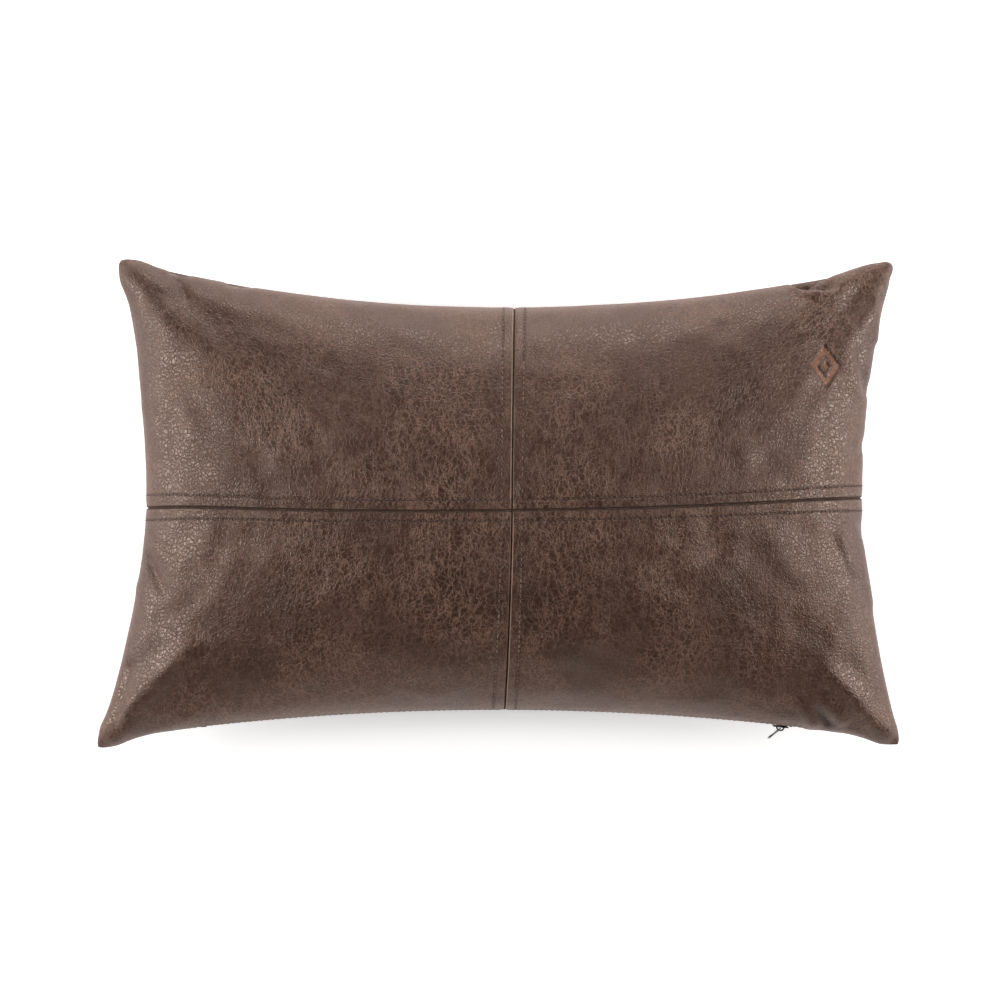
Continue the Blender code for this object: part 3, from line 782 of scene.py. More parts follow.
# %% Shared effects
def mottling_effect():
    inputs = {"Vector": None, "Scale": 20.0, "Detail": 4.0}
    group, given, result = new_effect("mottling", inputs, ["Tone"])
    cloudy = noise(group, *(given.outputs[name] for name in inputs))
    group.links.new(ramped(group, cloudy, 0.32, 0.68), result.inputs["Tone"])
    return group


def weave_effect():
    inputs = {"Vector": None, "Threads": 2000.0}
    group, given, result = new_effect("weave", inputs, ["Height", "Shade"])
    parts = add(group, "SeparateXYZ", {0: given.outputs["Vector"]})
    waves = []
    for axis in ("X", "Y"):
        counted = times(group, parts.outputs[axis], given.outputs["Threads"])
        waves.append(maths(group, "SINE", times(group, counted, math.pi)))
    warp_height, weft_height = (maths(group, "ABSOLUTE", wave) for wave in waves)
    taken = ramped(group, times(group, *waves), -0.15, 0.15)
    lower = times(group, maths(group, "SUBTRACT", 1.0, taken), weft_height)
    height = plus_times(group, taken, warp_height, lower)
    group.links.new(height, result.inputs["Height"])
    group.links.new(taken, result.inputs["Shade"])
    return group


def mottled(tree, place, scale, detail):
    """The mottling effect's tone in a material."""
    inputs = {"Vector": place, "Scale": scale, "Detail": detail}
    return add(tree, "Group", inputs, node_tree=mottling).outputs["Tone"]


def woven(tree, flat_name, threads):
    """The weave effect's height and shade on a cloth's own flat map."""
    flat = add(tree, "UVMap", uv_map=flat_name).outputs["UV"]
    return add(tree, "Group", {"Vector": flat, "Threads": threads}, node_tree=weave).outputs


mottling, weave = mottling_effect(), weave_effect()
print("effects:", mottling.name, weave.name)

# %% [markdown]
# The leather is a dark brown full grain. Its pebbles are cells of a Voronoi texture measured by the
# distance to the cell's edge, in two sizes, and bent by a slow noise so that they don't look laid
# out. The grooves between the pebbles are lower, duller and, in worn patches, a little lighter:
# partly as the dye cracks there, and partly as painted light for the grooves catching light in the
# dark middle. Longer creases run over the pebbles in two directions and are lightened the same way.
# On the front, a light line beside the upright seam is partly dye rubbed off and partly a painted
# highlight on the seam's rolled edge, stronger on one side. The seams' grooves are painted near black
# as shade, and each stitch goes down through a needle hole that is painted dark as shade.


# %% The leather
# The red of the rubbed seam edge with its painted highlight, and the near black of the painted shade
# in the seams' grooves.
WORN_AND_HIGHLIGHT_RED, SEAM_SHADE = (0.300, 0.2100, 0.1600), (0.004, 0.0022, 0.0018)


def flat_parts(tree):
    """Distances along and up the flat leather from its seams."""
    flat = add(tree, "UVMap", uv_map="cut_leather").outputs["UV"]
    return add(tree, "SeparateXYZ", {0: flat}).outputs


def needle_holes(tree):
    """1 at each needle hole of the two rows beside every seam, from the flat leather's own map."""
    parts = flat_parts(tree)
    rows = []
    for row, run in (("Y", "X"), ("X", "Y")):
        off = maths(tree, "SUBTRACT", maths(tree, "ABSOLUTE", parts[row]), STITCH_OFFSET)
        step = maths(tree, "DIVIDE", parts[run], PITCH)
        along = times(tree, maths(tree, "SUBTRACT", step, maths(tree, "ROUND", step)), PITCH)
        away = maths(tree, "SQRT", plus_times(tree, along, along, times(tree, off, off)))
        rows.append(ramped(tree, away, 0.00100, 0.00055))
    return maths(tree, "MAXIMUM", *rows)


def crease_lines(tree, place, turn, scale):
    """1 along long, branching creases that run roughly one way, and 0 between them."""
    inputs = {"Vector": place, "Rotation": (0.0, 0.0, turn), "Scale": (1.0, 0.42, 1.0)}
    drawn_out = add(tree, "Mapping", inputs).outputs[0]
    cloudy = noise(tree, drawn_out, scale, 5.0, Roughness=0.6)
    off = maths(tree, "ABSOLUTE", maths(tree, "SUBTRACT", cloudy, 0.5))
    return ramped(tree, off, 0.0, 0.018, 1.0, 0.0)


def cell_edges(tree, place, scale):
    """The distance to the edge of a pebble, 0 in the grooves between them."""
    inputs = {"Vector": place, "Scale": scale}
    return add(tree, "TexVoronoi", inputs, feature="DISTANCE_TO_EDGE").outputs["Distance"]


def sewn(tree, dye, colour, rough, grain):
    """The same leather with the front's seams: rubbed edges with a painted highlight, and seams and
    needle holes darkened as painted shade.
    """
    parts = flat_parts(tree)
    beside = maths(tree, "ABSOLUTE", parts["X"])
    across = maths(tree, "ABSOLUTE", parts["Y"])
    outer = times(tree, parts["X"], parts["Y"])
    # A light line on the seam's rolled edge: partly rubbed dye, partly a painted highlight, stronger
    # on one side.
    rubbed_and_highlight = ramped(tree, beside, 0.0004, 0.0006)
    rubbed_and_highlight = times(tree, rubbed_and_highlight, ramped(tree, beside, 0.0009, 0.0013, 1.0, 0.0))
    rubbed_and_highlight = times(tree, rubbed_and_highlight, ramped(tree, outer, 0.0, -1e-5, 0.15, 1.0))
    rubbed_and_highlight = times(tree, rubbed_and_highlight, ramped(tree, dye, 0.0, 1.0, 0.55, 0.95))
    colour = blend(tree, rubbed_and_highlight, colour, WORN_AND_HIGHLIGHT_RED)
    # Painted shade: the seams' grooves are painted near black and matte.
    upright_line = ramped(tree, beside, 0.0006, 0.0002, 0.0, 0.95)
    crossing_line = ramped(tree, across, 0.0013, 0.0006, 0.0, 0.98)
    seam = maths(tree, "MAXIMUM", upright_line, crossing_line)
    colour = blend(tree, seam, colour, SEAM_SHADE)
    rough = maths(tree, "MAXIMUM", rough, times(tree, seam, 0.95))
    # Painted shade: each needle hole is painted dark.
    hole = needle_holes(tree)
    colour = blend(tree, times(tree, hole, 0.92), colour, (0.020, 0.0062, 0.0042))
    return colour, rough, maths(tree, "SUBTRACT", grain, times(tree, hole, 1.2))


def leather_finish(name, seamed):
    """The leather; seamed is whether it has the front's seams and rows of needle holes."""
    material, tree, place = new_finish(
        name,
        Specular_IOR_Level=0.8,
        Specular_Tint=(1.0, 0.80, 0.70, 1),
        Sheen_Weight=0.22,
        Sheen_Roughness=0.45,
        Sheen_Tint=(0.80, 0.42, 0.30, 1),
    )
    bend = add(tree, "TexNoise", {"Vector": place, "Scale": 110.0, "Detail": 3.0})
    sums = {0: bend.outputs["Color"], 1: (0.0050, 0.0050, 0.0050), 2: place}
    bent = add(tree, "VectorMath", sums, operation="MULTIPLY_ADD").outputs[0]
    pebbles, fine_pebbles = cell_edges(tree, bent, 260.0), cell_edges(tree, bent, 440.0)
    coarse = mottled(tree, place, 17.0, 3.0)
    lines = [crease_lines(tree, bent, *way) for way in ((0.15, 170.0), (-0.75, 150.0))]
    lines = maths(tree, "MAXIMUM", *lines)
    large = ramped(tree, pebbles, 0.0, 0.11)
    grain = times(tree, large, ramped(tree, coarse, 0.0, 1.0, 0.30, 0.65))
    grain = plus_times(tree, ramped(tree, fine_pebbles, 0.0, 0.16), 0.55, grain)
    grain = plus_times(tree, noise(tree, place, 1700.0, 2.0), 0.08, grain)
    grain = maths(tree, "SUBTRACT", grain, times(tree, lines, 0.35))
    dye = mottled(tree, place, 30.0, 5.0)
    cloud = mottled(tree, place, 9.0, 3.0)
    colour = blend(tree, dye, (0.028, 0.0108, 0.0070), (0.047, 0.0190, 0.0120))
    colour = blend(tree, times(tree, cloud, 0.45), colour, (0.050, 0.0190, 0.0112))
    patch = ramped(tree, coarse, 0.0, 1.0, 0.25, 1.0)
    # Lighter grooves and creases: partly cracked dye, partly painted light for grooves that catch
    # light in the dark middle.
    cracked_dye_and_painted_light = maths(tree, "MAXIMUM", ramped(tree, pebbles, 0.0, 0.09, 0.45, 0.0), lines)
    cracked_dye_and_painted_light = times(tree, times(tree, cracked_dye_and_painted_light, patch), 0.85)
    colour = blend(tree, cracked_dye_and_painted_light, colour, (0.200, 0.1020, 0.0640))
    top = times(tree, ramped(tree, fine_pebbles, 0.0, 0.08), ramped(tree, pebbles, 0.0, 0.05))
    rough = plus_times(tree, dye, 0.04, ramped(tree, top, 0.0, 1.0, 0.62, 0.37))
    mark = add(tree, "Attribute", attribute_name="mark").outputs["Fac"]
    colour = blend(tree, times(tree, mark, 0.85), colour, (0.190, 0.0720, 0.0340))
    rim = times(tree, times(tree, mark, maths(tree, "SUBTRACT", 1.0, mark)), 3.8)
    colour = blend(tree, rim, colour, (0.012, 0.0065, 0.0050))
    if seamed:
        colour, rough, grain = sewn(tree, dye, colour, rough, grain)
    finish_with(tree, colour, rough, grain, 1.0, 0.00016)
    return material


leather_front = leather_finish("pebbled_leather_front", seamed=True)
leather_back = leather_finish("pebbled_leather_back", seamed=False)
print("leather:", len(leather_front.node_tree.nodes), "nodes")

# %% [markdown]
# ## The cover
# With the finish ready, the five pieces of leather are made: four quarters and the back.

# %% Cover the pillow
for end, end_name in ((TOP, "top"), (BOTTOM, "bottom")):
    for hand, hand_name in ((LEFT, "left"), (RIGHT, "right")):
        quarter_panel(f"{end_name}_{hand_name}", hand, end, leather_front)
whole_back(leather_back)

# %% [markdown]
# Topstitching is two rows of thread, one on each side of every seam. Each stitch is a short, thick
# thread that dives into the leather at both ends. One stitch is made as a closed tube of a few dozen
# faces and repeated; then its points are moved so that it follows the leather where it lies.


# %% A row of stitches
STITCH_RINGS, THREAD_RADIUS, STITCH_SHARE = 6, 0.00036, 0.86
END_DEPTH, ARCH_RISE, TURNS_PER_STITCH = 0.00034, 0.00058, 3.2


def one_stitch():
    """A closed tube along x from 0 to 1, with a radius of 1."""
    bm = bmesh.new()
    bmesh.ops.create_circle(bm, cap_ends=True, segments=6, radius=1.0)
    bmesh.ops.rotate(bm, verts=bm.verts, matrix=Matrix.Rotation(math.pi / 2, 3, "Y"))
    end = bm.faces[:]
    for ring in range(STITCH_RINGS - 1):
        grown = bmesh.ops.extrude_face_region(bm, geom=end, use_keep_orig=ring == 0)["geom"]
        moved = only(bmesh.types.BMVert, grown)
        bmesh.ops.translate(bm, verts=moved, vec=(1 / (STITCH_RINGS - 1), 0, 0))
        end = only(bmesh.types.BMFace, grown)
    bmesh.ops.recalc_face_normals(bm, faces=bm.faces)
    return mesh_from(bm, "one_stitch")


def repeated(mesh, count, name):
    """Copies of a small mesh in one mesh, still in the same place."""
    bm = bmesh.new()
    for _ in range(count):
        bm.from_mesh(mesh)
    return mesh_from(bm, name)


stitch_mesh = one_stitch()


def on_leather(a, b, side):
    """Points of the leather's face and its normals there, with the seams' small dips left out."""
    normal = outward(lambda p, q: cover_face(p, q, side, seams=False), a, b, side)
    return cover_face(a, b, side), normal


def stitch_row(name, centres, along, side, finish, node, worn=0.0, sunk=0.0):
    """Stitches at centres (a, b) on the flat leather, each lying along a direction in a and b."""
    centres, along = np.asarray(centres), np.asarray(along)
    count = len(centres)
    mesh = repeated(stitch_mesh, count, name)
    shape = places(mesh).reshape(count, -1, 3)
    half = along * PITCH / 2
    starts, _ = on_leather(*(centres - half).T, side)
    ends, _ = on_leather(*(centres + half).T, side)
    middles, normals = on_leather(*centres.T, side)
    run = ends - starts
    length = np.linalg.norm(run, axis=1, keepdims=True)
    run = run / length
    normals = normals - run * (normals * run).sum(axis=1, keepdims=True)
    normals /= np.linalg.norm(normals, axis=1, keepdims=True)
    aside = np.cross(normals, run)
    share = shape[..., 0:1]
    arch = np.sin(np.pi * np.clip(share, 0, 1)) ** 0.6
    radius = THREAD_RADIUS * (0.70 + 0.30 * arch)
    lift = (ARCH_RISE * arch - END_DEPTH) - sunk + radius * shape[..., 2:3]
    reach = (share - 0.5) * STITCH_SHARE * length[:, None]
    centre = (starts + ends)[:, None] / 4 + middles[:, None] / 2
    points = centre + run[:, None] * reach + aside[:, None] * radius * shape[..., 1:2]
    points = points + normals[:, None] * lift
    place_points(mesh, points.reshape(-1, 3))
    around = np.arctan2(shape[..., 2], shape[..., 1]) / (2 * math.pi)
    twist = around + shape[..., 0] * TURNS_PER_STITCH
    store(mesh, "twist", twist.ravel())
    rubbing = worn * np.random.default_rng(count).uniform(0.15, 1.0, count)
    store(mesh, "worn", np.repeat(rubbing, shape.shape[1]))
    mesh.shade_smooth()
    new_piece(name, mesh, "pillow", [node], finish)
    print(name, count, "stitches")


# %% [markdown]
# The thread is a reddish brown polyester, laid up from three yarns. Its twist is a wave that runs
# slantwise round the thread, from a number kept on each stitch's points. The wave's lows are painted
# darker, as shade between the yarns.


# %% The thread
def thread_finish():
    material, tree, place = new_finish("twisted_thread", Roughness=0.60, Sheen_Weight=0.10)
    turn = add(tree, "Attribute", attribute_name="twist").outputs["Fac"]
    raised = ramped(tree, maths(tree, "SINE", times(tree, turn, 6 * math.pi)), -1.0, 1.0)
    tone = times(tree, mottled(tree, place, 180.0, 3.0), 0.4)
    # Painted shade: the twist's low parts are darker and the raised yarns lighter.
    colour = blend(tree, raised, (0.032, 0.0105, 0.0068), (0.096, 0.0320, 0.0200))
    colour = blend(tree, tone, colour, (0.060, 0.0220, 0.0150))
    worn = add(tree, "Attribute", attribute_name="worn").outputs["Fac"]
    colour = blend(tree, worn, colour, (0.250, 0.1600, 0.1150))
    height = plus_times(tree, noise(tree, place, 6000.0, 2.0), 0.4, raised)
    finish_with(tree, colour, None, height, 0.6, 0.00012)
    return material


thread = thread_finish()

# %% [markdown]
# The stitches lie between the needle holes, which are a pitch apart counted from the crossing of the
# seams. The rows beside the upright seam start past the rows that cross it, as on a real cover, where
# the halves are topstitched before they are joined.

# %% Stitch the seams and the zip's edges
END_MARGIN, UPRIGHT_START, ZIP_ROW = 0.0035, 0.0072, 0.0022


def holes_between(first, last):
    """Centres of stitches that fit between two distances from the crossing."""
    numbers = range(math.ceil(first / PITCH), math.floor(last / PITCH))
    return [(number + 0.5) * PITCH for number in numbers]


across = holes_between(-CUT_HALF_LENGTH + END_MARGIN, CUT_HALF_LENGTH - END_MARGIN)
up = holes_between(UPRIGHT_START, CUT_HALF_WIDTH - END_MARGIN)
for end, place_name in ((TOP, "above"), (BOTTOM, "below")):
    node = f"topstitch_{place_name}_cross_seam"
    centres = [(a, end * STITCH_OFFSET) for a in across]
    stitch_row(f"stitches_{place_name}_cross_seam", centres, (1, 0), FRONT, thread, node)
for hand, hand_name in ((LEFT, "left"), (RIGHT, "right")):
    for end, end_name in ((TOP, "upper"), (BOTTOM, "lower")):
        centres = [(hand * STITCH_OFFSET, end * b) for b in up]
        node = f"topstitch_{end_name}_{hand_name}"
        row_name = f"stitches_{end_name}_{hand_name}"
        stitch_row(row_name, centres, (0, 1), FRONT, thread, node, worn=0.9)
beside_zip = holes_between(-ZIP_HALF_LENGTH, ZIP_HALF_LENGTH)
for side, side_name in ((FRONT, "front"), (BACK, "back")):
    centres = [(a, ZIP_ROW - CUT_HALF_WIDTH) for a in beside_zip]
    row_name, node = f"zip_stitches_{side_name}", f"zip_stitch_{side_name}"
    stitch_row(row_name, centres, (1, 0), side, thread, node, worn=0.3, sunk=0.00022)

# %% [markdown]
# ## The zip
# The zip is a number 3 nylon coil zip. Each half is a woven tape with a nylon spiral sewn along its
# edge. The tape is a thin sheet bent along the zip's arc and given its thickness. The spiral is a
# curve with ten points a turn and a round bevel, made a mesh once it has its shape.


# %% The zip's tapes and coils
TAPE_HALF_LENGTH, TAPE_DEPTH, CLOTH_THICKNESS = 0.1935, 0.0016, 0.0006
COIL_LENGTH, COIL_PITCH, WIRE_RADIUS = 0.3635, 0.00125, 0.00023


def beside_the_zip(x, depth, height):
    """Points at a distance in from the leather's face and above or below the edge seam."""
    turn, radius = x / ZIP_RADIUS, ZIP_RADIUS + depth
    y = ZIP_CENTRE_Y + radius * np.cos(turn)
    return np.stack([radius * np.sin(turn), y, SEAM_HEIGHT + height], axis=-1)


def zip_tape(name, side, finish):
    """The woven tape that one half of the zip is sewn to, which leans in with the leather."""
    columns = np.linspace(-TAPE_HALF_LENGTH, TAPE_HALF_LENGTH, 155)
    rows = MM * np.array([0.9, 1.2, 2.2, 3.4, 4.6, 5.8, 7.0, 8.2, 9.4, 10.6, 11.2, 11.5])

    def rule(x, height):
        ripple = 0.00010 * np.sin(x * 900 + side) * np.clip((height - 0.004) / 0.004, 0, 1)
        u = x / REACH
        leaning = plan(u, height_line(u, height, side))[1] - plan(u, 0 * u - 1)[1]
        return beside_the_zip(x, TAPE_DEPTH + ripple + leaning, side * height)

    mesh, *_ = grid_mesh(name, columns, rows, rule, side, "flat_tape")
    thicken(new_piece(name + "_woven", mesh, "pillow", [name], finish), CLOTH_THICKNESS)


def zip_coil(name, side, finish):
    """The nylon spiral along one tape's edge."""
    around, turns = 10, round(COIL_LENGTH / COIL_PITCH)
    step = np.arange(turns * around + 1) / around
    x = -turns * COIL_PITCH / 2 + step * COIL_PITCH
    angle = 2 * math.pi * step
    height = 0.0018 - np.cos(angle) * (0.00135 - WIRE_RADIUS)
    depth = 0.00065 + np.sin(angle) * (0.00065 - WIRE_RADIUS)
    points = beside_the_zip(x, depth, side * height)
    curve = bpy.data.curves.new(name, "CURVE")
    curve.dimensions = "3D"
    curve.bevel_depth, curve.bevel_resolution = WIRE_RADIUS, 1
    curve.use_fill_caps = True
    spline = curve.splines.new("POLY")
    spline.points.add(len(points) - 1)
    spline.points.foreach_set("co", np.column_stack([points, np.ones(len(points))]).ravel())
    rail = new_object(name, curve)
    mesh = finished_mesh(rail)
    bpy.data.objects.remove(rail)
    mesh.shade_smooth()
    new_piece(name + "_spiral", mesh, "pillow", [name], finish)
    print(name, turns, "turns,", len(mesh.polygons), "faces")


# %% [markdown]
# The tape is a fine weave, read from the flat tape's own map. The coil is black nylon with a soft
# gloss. The slider and the stops are gunmetal: dark, slightly rough metal with scuffs on it.


# %% Finishes of the zip
def tape_finish():
    material, tree, _ = new_finish("zip_tape_weave", Roughness=0.85, Sheen_Weight=0.2)
    threads = woven(tree, "flat_tape", 2200.0)
    colour = blend(tree, threads["Shade"], (0.014, 0.0095, 0.0078), (0.030, 0.0200, 0.0160))
    finish_with(tree, colour, None, threads["Height"], 0.7, 0.00015)
    return material


def coil_finish():
    material, tree, place = new_finish("nylon_coil")
    tone = mottled(tree, place, 300.0, 3.0)
    colour = blend(tree, tone, (0.012, 0.0085, 0.0070), (0.024, 0.0170, 0.0140))
    finish_with(tree, colour, ramped(tree, tone, 0.0, 1.0, 0.32, 0.46))
    return material


def metal_finish(name, dark, light):
    material, tree, place = new_finish(name, Metallic=1.0)
    handled = mottled(tree, place, 420.0, 5.0)
    drawn_out = add(tree, "Mapping", {"Vector": place, "Scale": (1.0, 9.0, 1.0)}).outputs[0]
    scuffs = noise(tree, drawn_out, 900.0, 4.0)
    colour = blend(tree, times(tree, handled, ramped(tree, scuffs, 0.5, 0.7)), dark, light)
    rough = ramped(tree, handled, 0.0, 1.0, 0.24, 0.44)
    finish_with(tree, colour, rough, scuffs, 0.25, 0.00005)
    return material


tape_weave, nylon = tape_finish(), coil_finish()
gunmetal = metal_finish("gunmetal", (0.075, 0.072, 0.070), (0.30, 0.29, 0.28))
pull_metal = metal_finish("pull_metal", (0.30, 0.29, 0.28), (0.62, 0.60, 0.58))

# %% [markdown]
# The same two functions make both halves of the zip, one above the edge seam and one below it. The
# three stops come from the solid model: they only get the metal and slightly rounded edges.

# %% Make both halves of the zip
for side, side_name in ((FRONT, "front"), (BACK, "back")):
    zip_tape(f"zip_tape_{side_name}", side, tape_weave)
    zip_coil(f"zip_coil_{side_name}", side, nylon)
for node_name in ("zip_top_stop_front", "zip_top_stop_back", "zip_bottom_stop"):
    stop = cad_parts[node_name]
    stop.data.materials.clear()
    stop.data.materials.append(gunmetal)
    rounding = stop.modifiers.new("rounded_edges", "BEVEL")
    rounding.width, rounding.segments, rounding.limit_method = 0.00018, 2, "ANGLE"

# %% [markdown]
# The slider is cast metal: two plates joined by a post, with flanges that hold the coils between
# them and an arched crown that the pull hooks on. It is modelled lying along x with the zip's outward
# side at -y, every edge is bevelled, and one matrix then puts it in its place on the arc.

# %% The slider
PULL_HINGE = (0.176358, -0.140262)  # where the pull's hinge is, seen from above
SLIDER_TURN = math.atan2(-PULL_HINGE[0], PULL_HINGE[1] - ZIP_CENTRE_Y)
slider_place = (
    Matrix.Translation((0, ZIP_CENTRE_Y, SEAM_HEIGHT))
    @ Matrix.Rotation(SLIDER_TURN, 4, "Z")
    @ Matrix.Translation((0, ZIP_RADIUS, 0))
)


def block(bm, low, high):
    """A box between two corners, in millimetres, as a part of a mesh being built."""
    low, high = Vector(low) * MM, Vector(high) * MM
    size = high - low
    place = Matrix.Translation((low + high) / 2) @ Matrix.Diagonal((*size, 1))
    return bmesh.ops.create_cube(bm, size=1.0, matrix=place)["verts"]


def rounded(bm, width, segments=2):
    """Bevels every sharp edge."""
    sharp = [e for e in bm.edges if len(e.link_faces) == 2 and e.calc_face_angle() > 0.6]
    look = {"profile": 0.5, "affect": "EDGES", "material": -1, "clamp_overlap": True}
    bmesh.ops.bevel(bm, geom=sharp, offset=width * MM, segments=segments, **look)


def joined(name, parts, place):
    """One mesh from closed parts that overlap, put in its place."""
    bm = bmesh.new()
    for part in parts:
        bmesh.ops.recalc_face_normals(part, faces=part.faces)
        held = mesh_from(part, "part")
        bm.from_mesh(held)
        bpy.data.meshes.remove(held)
    bmesh.ops.transform(bm, matrix=place, verts=bm.verts)
    mesh = mesh_from(bm, name)
    mesh.shade_smooth()
    return mesh


def rounded_block(low, high, width, segments=2):
    """A box with bevelled edges, as a part by itself."""
    bm = bmesh.new()
    block(bm, low, high)
    rounded(bm, width, segments)
    return bm


PLATE_WIDTHS = ((-4, 0.66), (-2, 0.84), (1, 0.97), (4, 1.0), (9, 0.9))  # shares, up to x in mm


def slider_plate(outer, inner):
    """A plate, broad at its mouth and narrower behind."""
    bm = bmesh.new()
    block(bm, (-4.75, outer, -3.9), (4.75, inner, 3.9))
    for cut_x in (-2.6, 0.4, 3.4):
        cut = {"plane_co": (cut_x * MM, 0, 0), "plane_no": (1, 0, 0)}
        bmesh.ops.bisect_plane(bm, geom=everything(bm), **cut)
    for vert in bm.verts:
        vert.co.z *= next(share for end, share in PLATE_WIDTHS if vert.co.x / MM < end)
    rounded(bm, 0.28, 3)
    return bm


def slider_crown():
    """The arch that the pull hooks on, turned by a spin."""
    bm = bmesh.new()
    bmesh.ops.create_grid(bm, x_segments=1, y_segments=1, size=0.5)
    bmesh.ops.rotate(bm, verts=bm.verts, matrix=Matrix.Rotation(math.pi / 2, 3, "X"))
    bmesh.ops.scale(bm, verts=bm.verts, vec=(0.95 * MM, 1, 1.4 * MM))
    bmesh.ops.translate(bm, verts=bm.verts, vec=(2.3 * MM, -1.05 * MM, 0))
    centre = (0, -1.05 * MM, 0)
    way = {"cent": centre, "axis": (0, 0, 1), "angle": -math.pi, "steps": 18}
    bmesh.ops.spin(bm, geom=everything(bm), **way)
    bmesh.ops.recalc_face_normals(bm, faces=bm.faces)
    rounded(bm, 0.2, 2)
    return bm


post = rounded_block((1.9, -0.7, -0.4), (3.85, 2.9, 0.4), 0.15)
flanges = [
    rounded_block((-1.8, -0.8, low), (3.6, 1.2, high), 0.18)
    for low, high in ((-3.85, -3.25), (3.25, 3.85))
]
plates = [slider_plate(-1.25, -0.35), slider_plate(2.55, 3.45)]
slider_mesh = joined("cast_slider", [*plates, slider_crown(), post, *flanges], slider_place)
new_piece("cast_slider", slider_mesh, "slider", ["zip_slider"], gunmetal)
print("slider:", len(slider_mesh.polygons), "faces")

# %% [markdown]
# The pull is a stamped tab with a window at one end, through which the crown passes. Two loops of
# points, an outline and a window, are bridged into a flat ring, which is then given its thickness
# and bevelled. A small rounded bead at the far end makes it easy to grip.


# %% The pull
def stadium(bm, centre_x, half_length, half_width, segments=32):
    """A loop with straight sides and round ends, in millimetres."""
    loop = bmesh.ops.create_circle(bm, segments=segments, radius=half_width * MM)["verts"]
    for vert in loop:
        shift = (half_length - half_width) * MM
        vert.co.x += centre_x * MM + (shift if vert.co.x > 1e-9 else -shift)
    return loop


def pull_tab():
    bm = bmesh.new()
    stadium(bm, -4.775, 5.225, 2.2)
    stadium(bm, -2.15, 1.7, 1.1)
    bmesh.ops.bridge_loops(bm, edges=bm.edges[:])
    bmesh.ops.rotate(bm, verts=bm.verts, matrix=Matrix.Rotation(math.pi / 2, 3, "X"))
    bmesh.ops.translate(bm, verts=bm.verts, vec=(0, 0.35 * MM, 0))
    grown = bmesh.ops.extrude_face_region(bm, geom=bm.faces[:], use_keep_orig=True)["geom"]
    bmesh.ops.translate(bm, verts=only(bmesh.types.BMVert, grown), vec=(0, -0.7 * MM, 0))
    bmesh.ops.recalc_face_normals(bm, faces=bm.faces)
    rounded(bm, 0.16, 2)
    return bm


pull_place = slider_place @ Matrix.Translation((0, -2.10 * MM, 0))
pull_place = pull_place @ Matrix.Rotation(math.radians(45), 4, "Z")
bead = rounded_block((-9.3, -0.6, -1.5), (-6.0, 0.6, 1.5), 0.55, 4)
pull_mesh = joined("stamped_pull", [pull_tab(), bead], pull_place)
new_piece("stamped_pull", pull_mesh, "pull", ["zip_pull"], pull_metal)
print("pull:", len(pull_mesh.polygons), "faces")

# %% [markdown]
# ## The insert
# Inside the cover is its own cushion: a cotton casing stuffed with polyester fibre. It shows only
# when the zip is open, but it is made in full, following the cover's folds a little way inside them.


# %% The casing
CASING_INSET, FILL_INSET, ZIP_ROOM = 0.0030, 0.0042, 0.00185


def casing_rule(side, inset):
    """The rule for a skin inside the cover, which follows the cover's creases and hollows."""

    def smooth(a, b):
        u, v = shares(a, b, side, inset, lips=False)
        return skin(u, v, side, inset, inset + ZIP_ROOM)

    def rule(a, b):
        points = smooth(a, b)
        hollow = folded(points, hollows_only=True) if side == FRONT else 0 * a
        normal = outward(smooth, a, b, side)
        points = points + 0.9 * crease_at(a, b, side) + normal * hollow[..., None]
        if side == BACK:
            points[..., 2] = np.maximum(points[..., 2], inset - 0.0012)
        return points

    return rule


def even_lines(columns, rows):
    """Evenly spaced grid lines over the flat cover."""
    across = np.linspace(-CUT_HALF_LENGTH, CUT_HALF_LENGTH, columns)
    return across, np.linspace(-CUT_HALF_WIDTH, CUT_HALF_WIDTH, rows)


def casing_finish():
    material, tree, place = new_finish("cotton_casing", Roughness=0.9, Sheen_Weight=0.3)
    threads = woven(tree, "flat_cloth", 1500.0)
    tone = times(tree, mottled(tree, place, 30.0, 3.0), 0.3)
    colour = blend(tree, threads["Shade"], (0.64, 0.61, 0.56), (0.78, 0.75, 0.70))
    colour = blend(tree, tone, colour, (0.60, 0.57, 0.51))
    finish_with(tree, colour, None, threads["Height"], 0.6, 0.0002)
    return material


cotton = casing_finish()
for side, side_name in ((FRONT, "front"), (BACK, "back")):
    name, rule = f"casing_{side_name}", casing_rule(side, CASING_INSET)
    mesh, *_ = grid_mesh(name, *even_lines(141, 85), rule, side, "flat_cloth")
    casing = new_piece(name, mesh, "pillow", ["insert_" + name], cotton)
    thicken(casing, CLOTH_THICKNESS)
    print(name, len(casing.data.polygons), "faces")

# %% [markdown]
# The fill is one closed body: its front and back are two grids joined round their edge. Loose fibre
# settles in soft lumps, so a slow noise moves its surface in and out by a millimetre or two.


# %% The fibre fill
def fibre_finish():
    material, tree, place = new_finish("loose_fibre", Roughness=0.95, Sheen_Weight=0.4)
    stretched = add(tree, "Mapping", {"Vector": place, "Scale": (1.0, 6.0, 1.0)}).outputs[0]
    tone = mottled(tree, place, 45.0, 4.0)
    colour = blend(tree, tone, (0.76, 0.76, 0.74), (0.90, 0.90, 0.89))
    finish_with(tree, colour, None, noise(tree, stretched, 700.0, 4.0), 0.8, 0.0008)
    return material


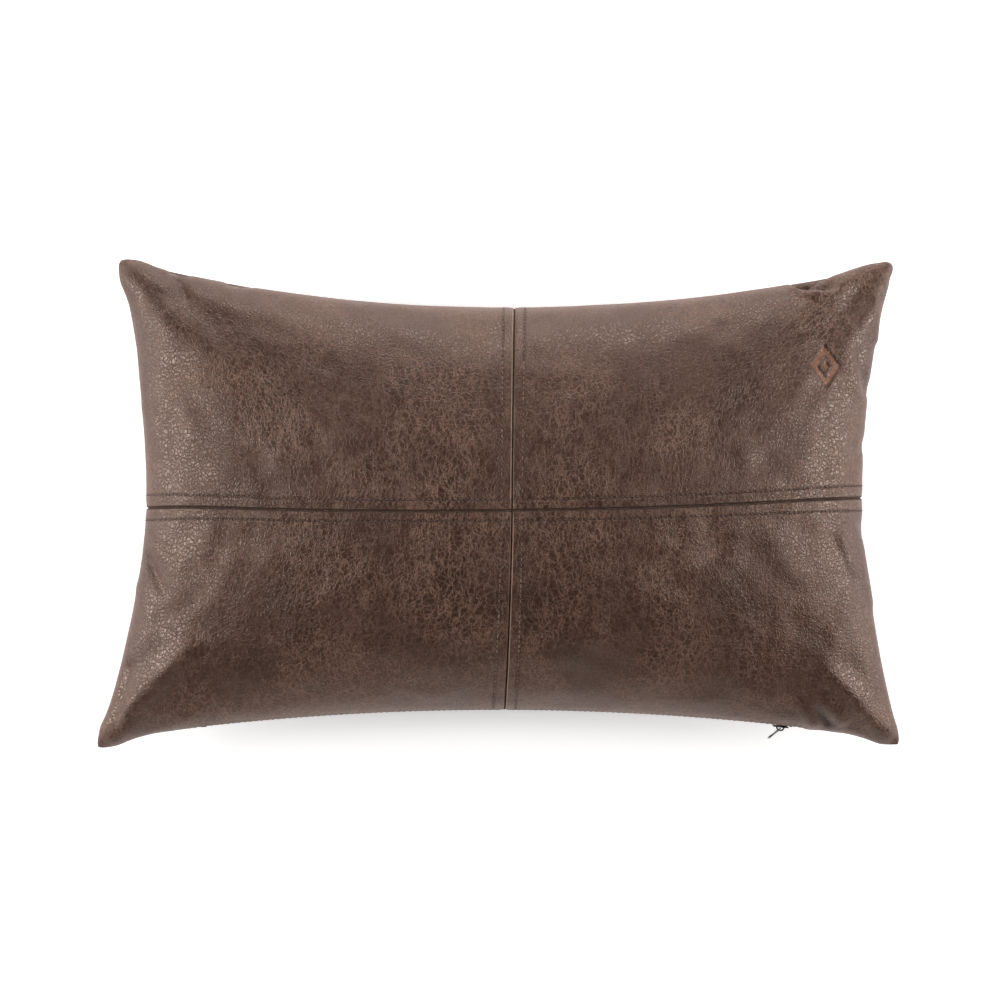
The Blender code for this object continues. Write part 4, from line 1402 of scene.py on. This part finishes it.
def fibre_fill():
    """Both sides of the fill, lumpy and joined round their edge."""
    bm = bmesh.new()
    for side in (FRONT, BACK):
        half, *_ = grid_mesh("half", *even_lines(101, 61), casing_rule(side, FILL_INSET), side)
        points = places(half)
        x, y = points[:, 0], points[:, 1]
        lump = np.sin(x * 71 + 1.3 * np.sin(y * 53)) * np.sin(y * 83 + 1.7 * np.sin(x * 47 + side))
        points[:, 2] -= side * 0.0009 * (1 + lump) * dome(x / 0.25, y / 0.152)
        place_points(half, points)
        bm.from_mesh(half)
        bpy.data.meshes.remove(half)
    edge = [vert for vert in bm.verts if vert.is_boundary]
    bmesh.ops.remove_doubles(bm, verts=edge, dist=0.0004)
    mesh = mesh_from(bm, "fibre_fill")
    mesh.shade_smooth()
    print("fill:", len(mesh.polygons), "faces")
    return new_piece("fibre_fill", mesh, "pillow", ["insert_fill"], fibre_finish())


fibre_fill()

# %% [markdown]
# ## The picture
# The pillow is seen square on, from straight above its front, through a long lens so that its sides
# don't lean. The floor is a plain pale sheet. Lights over the middle would make it shine, so they all
# stand low round the pillow: a wide one past the top edge, a strip at each side and two weak fills.
# They catch the sloping edges and leave the middle deep. The surroundings glow only near the
# horizon. The camera alone sees them as plain and pale, so that no low view has a dark background.

# %% Camera, floor and lights
LENS, SENSOR, WIDTH_SEEN = 85, 36, 0.625
camera_data = bpy.data.cameras.new("camera")
camera_data.lens, camera_data.sensor_width = LENS, SENSOR
camera_data.clip_start, camera_data.clip_end = 0.05, 20
camera = new_object("camera", camera_data)
camera.location = (0.00125, 0.0025, 0.058 + WIDTH_SEEN * LENS / SENSOR)
bpy.context.scene.camera = camera

floor_bm = bmesh.new()
bmesh.ops.create_grid(floor_bm, x_segments=8, y_segments=8, size=3.0)
floor = new_object("floor", mesh_from(floor_bm, "floor"))
floor.location.z = -0.0002
floor_look = {"Base_Color": (0.80, 0.80, 0.80, 1), "Emission_Color": (1.0, 1.0, 1.0, 1)}
floor_finish, *_ = new_finish("pale_floor", Roughness=0.9, Emission_Strength=0.53, **floor_look)
floor.data.materials.append(floor_finish)


LIGHTS = (  # name, place, width and height, power
    ("key", (0.1, 2.1, 0.6), (1.5, 0.5), 28),
    ("high_fill", (0.1, 1.5, 1.9), (1.5, 0.6), 2.6),
    ("near_fill", (0, -1.9, 0.8), (1.5, 0.5), 5.3),
    ("left_strip", (-1.6, 0.1, 0.82), (0.35, 1.35), 29),
    ("right_strip", (1.6, 0.1, 0.78), (0.35, 1.35), 27),
)
for name, place, size, power in LIGHTS:
    light = bpy.data.lights.new(name, "AREA")
    light.shape, light.size, light.size_y = "RECTANGLE", *size
    light.energy, light.color = power, (1.0, 0.985, 0.965)
    lamp = new_object(name, light)
    lamp.location = place
    towards = Vector((0, 0, 0.05)) - Vector(place)
    lamp.rotation_euler = towards.to_track_quat("-Z", "Y").to_euler()

HORIZON_GLOW, CAMERA_GLOW = 2.0, 18.0  # times a world's own dark grey, which is 0.05
world = bpy.data.worlds.new("pale_surroundings")
bpy.context.scene.world = world
world.use_nodes = True
sky = world.node_tree
background = sky.nodes["Background"]
direction = add(sky, "SeparateXYZ", {0: add(sky, "TexCoord").outputs["Generated"]})
glow = ramped(sky, direction.outputs["Z"], 0.05, 0.30, HORIZON_GLOW, 0.0)
seen = add(sky, "LightPath").outputs["Is Camera Ray"]
plain = times(sky, seen, CAMERA_GLOW)
sky.links.new(maths(sky, "MAXIMUM", glow, plain), background.inputs["Strength"])
bpy.context.scene.view_settings.view_transform = "Standard"
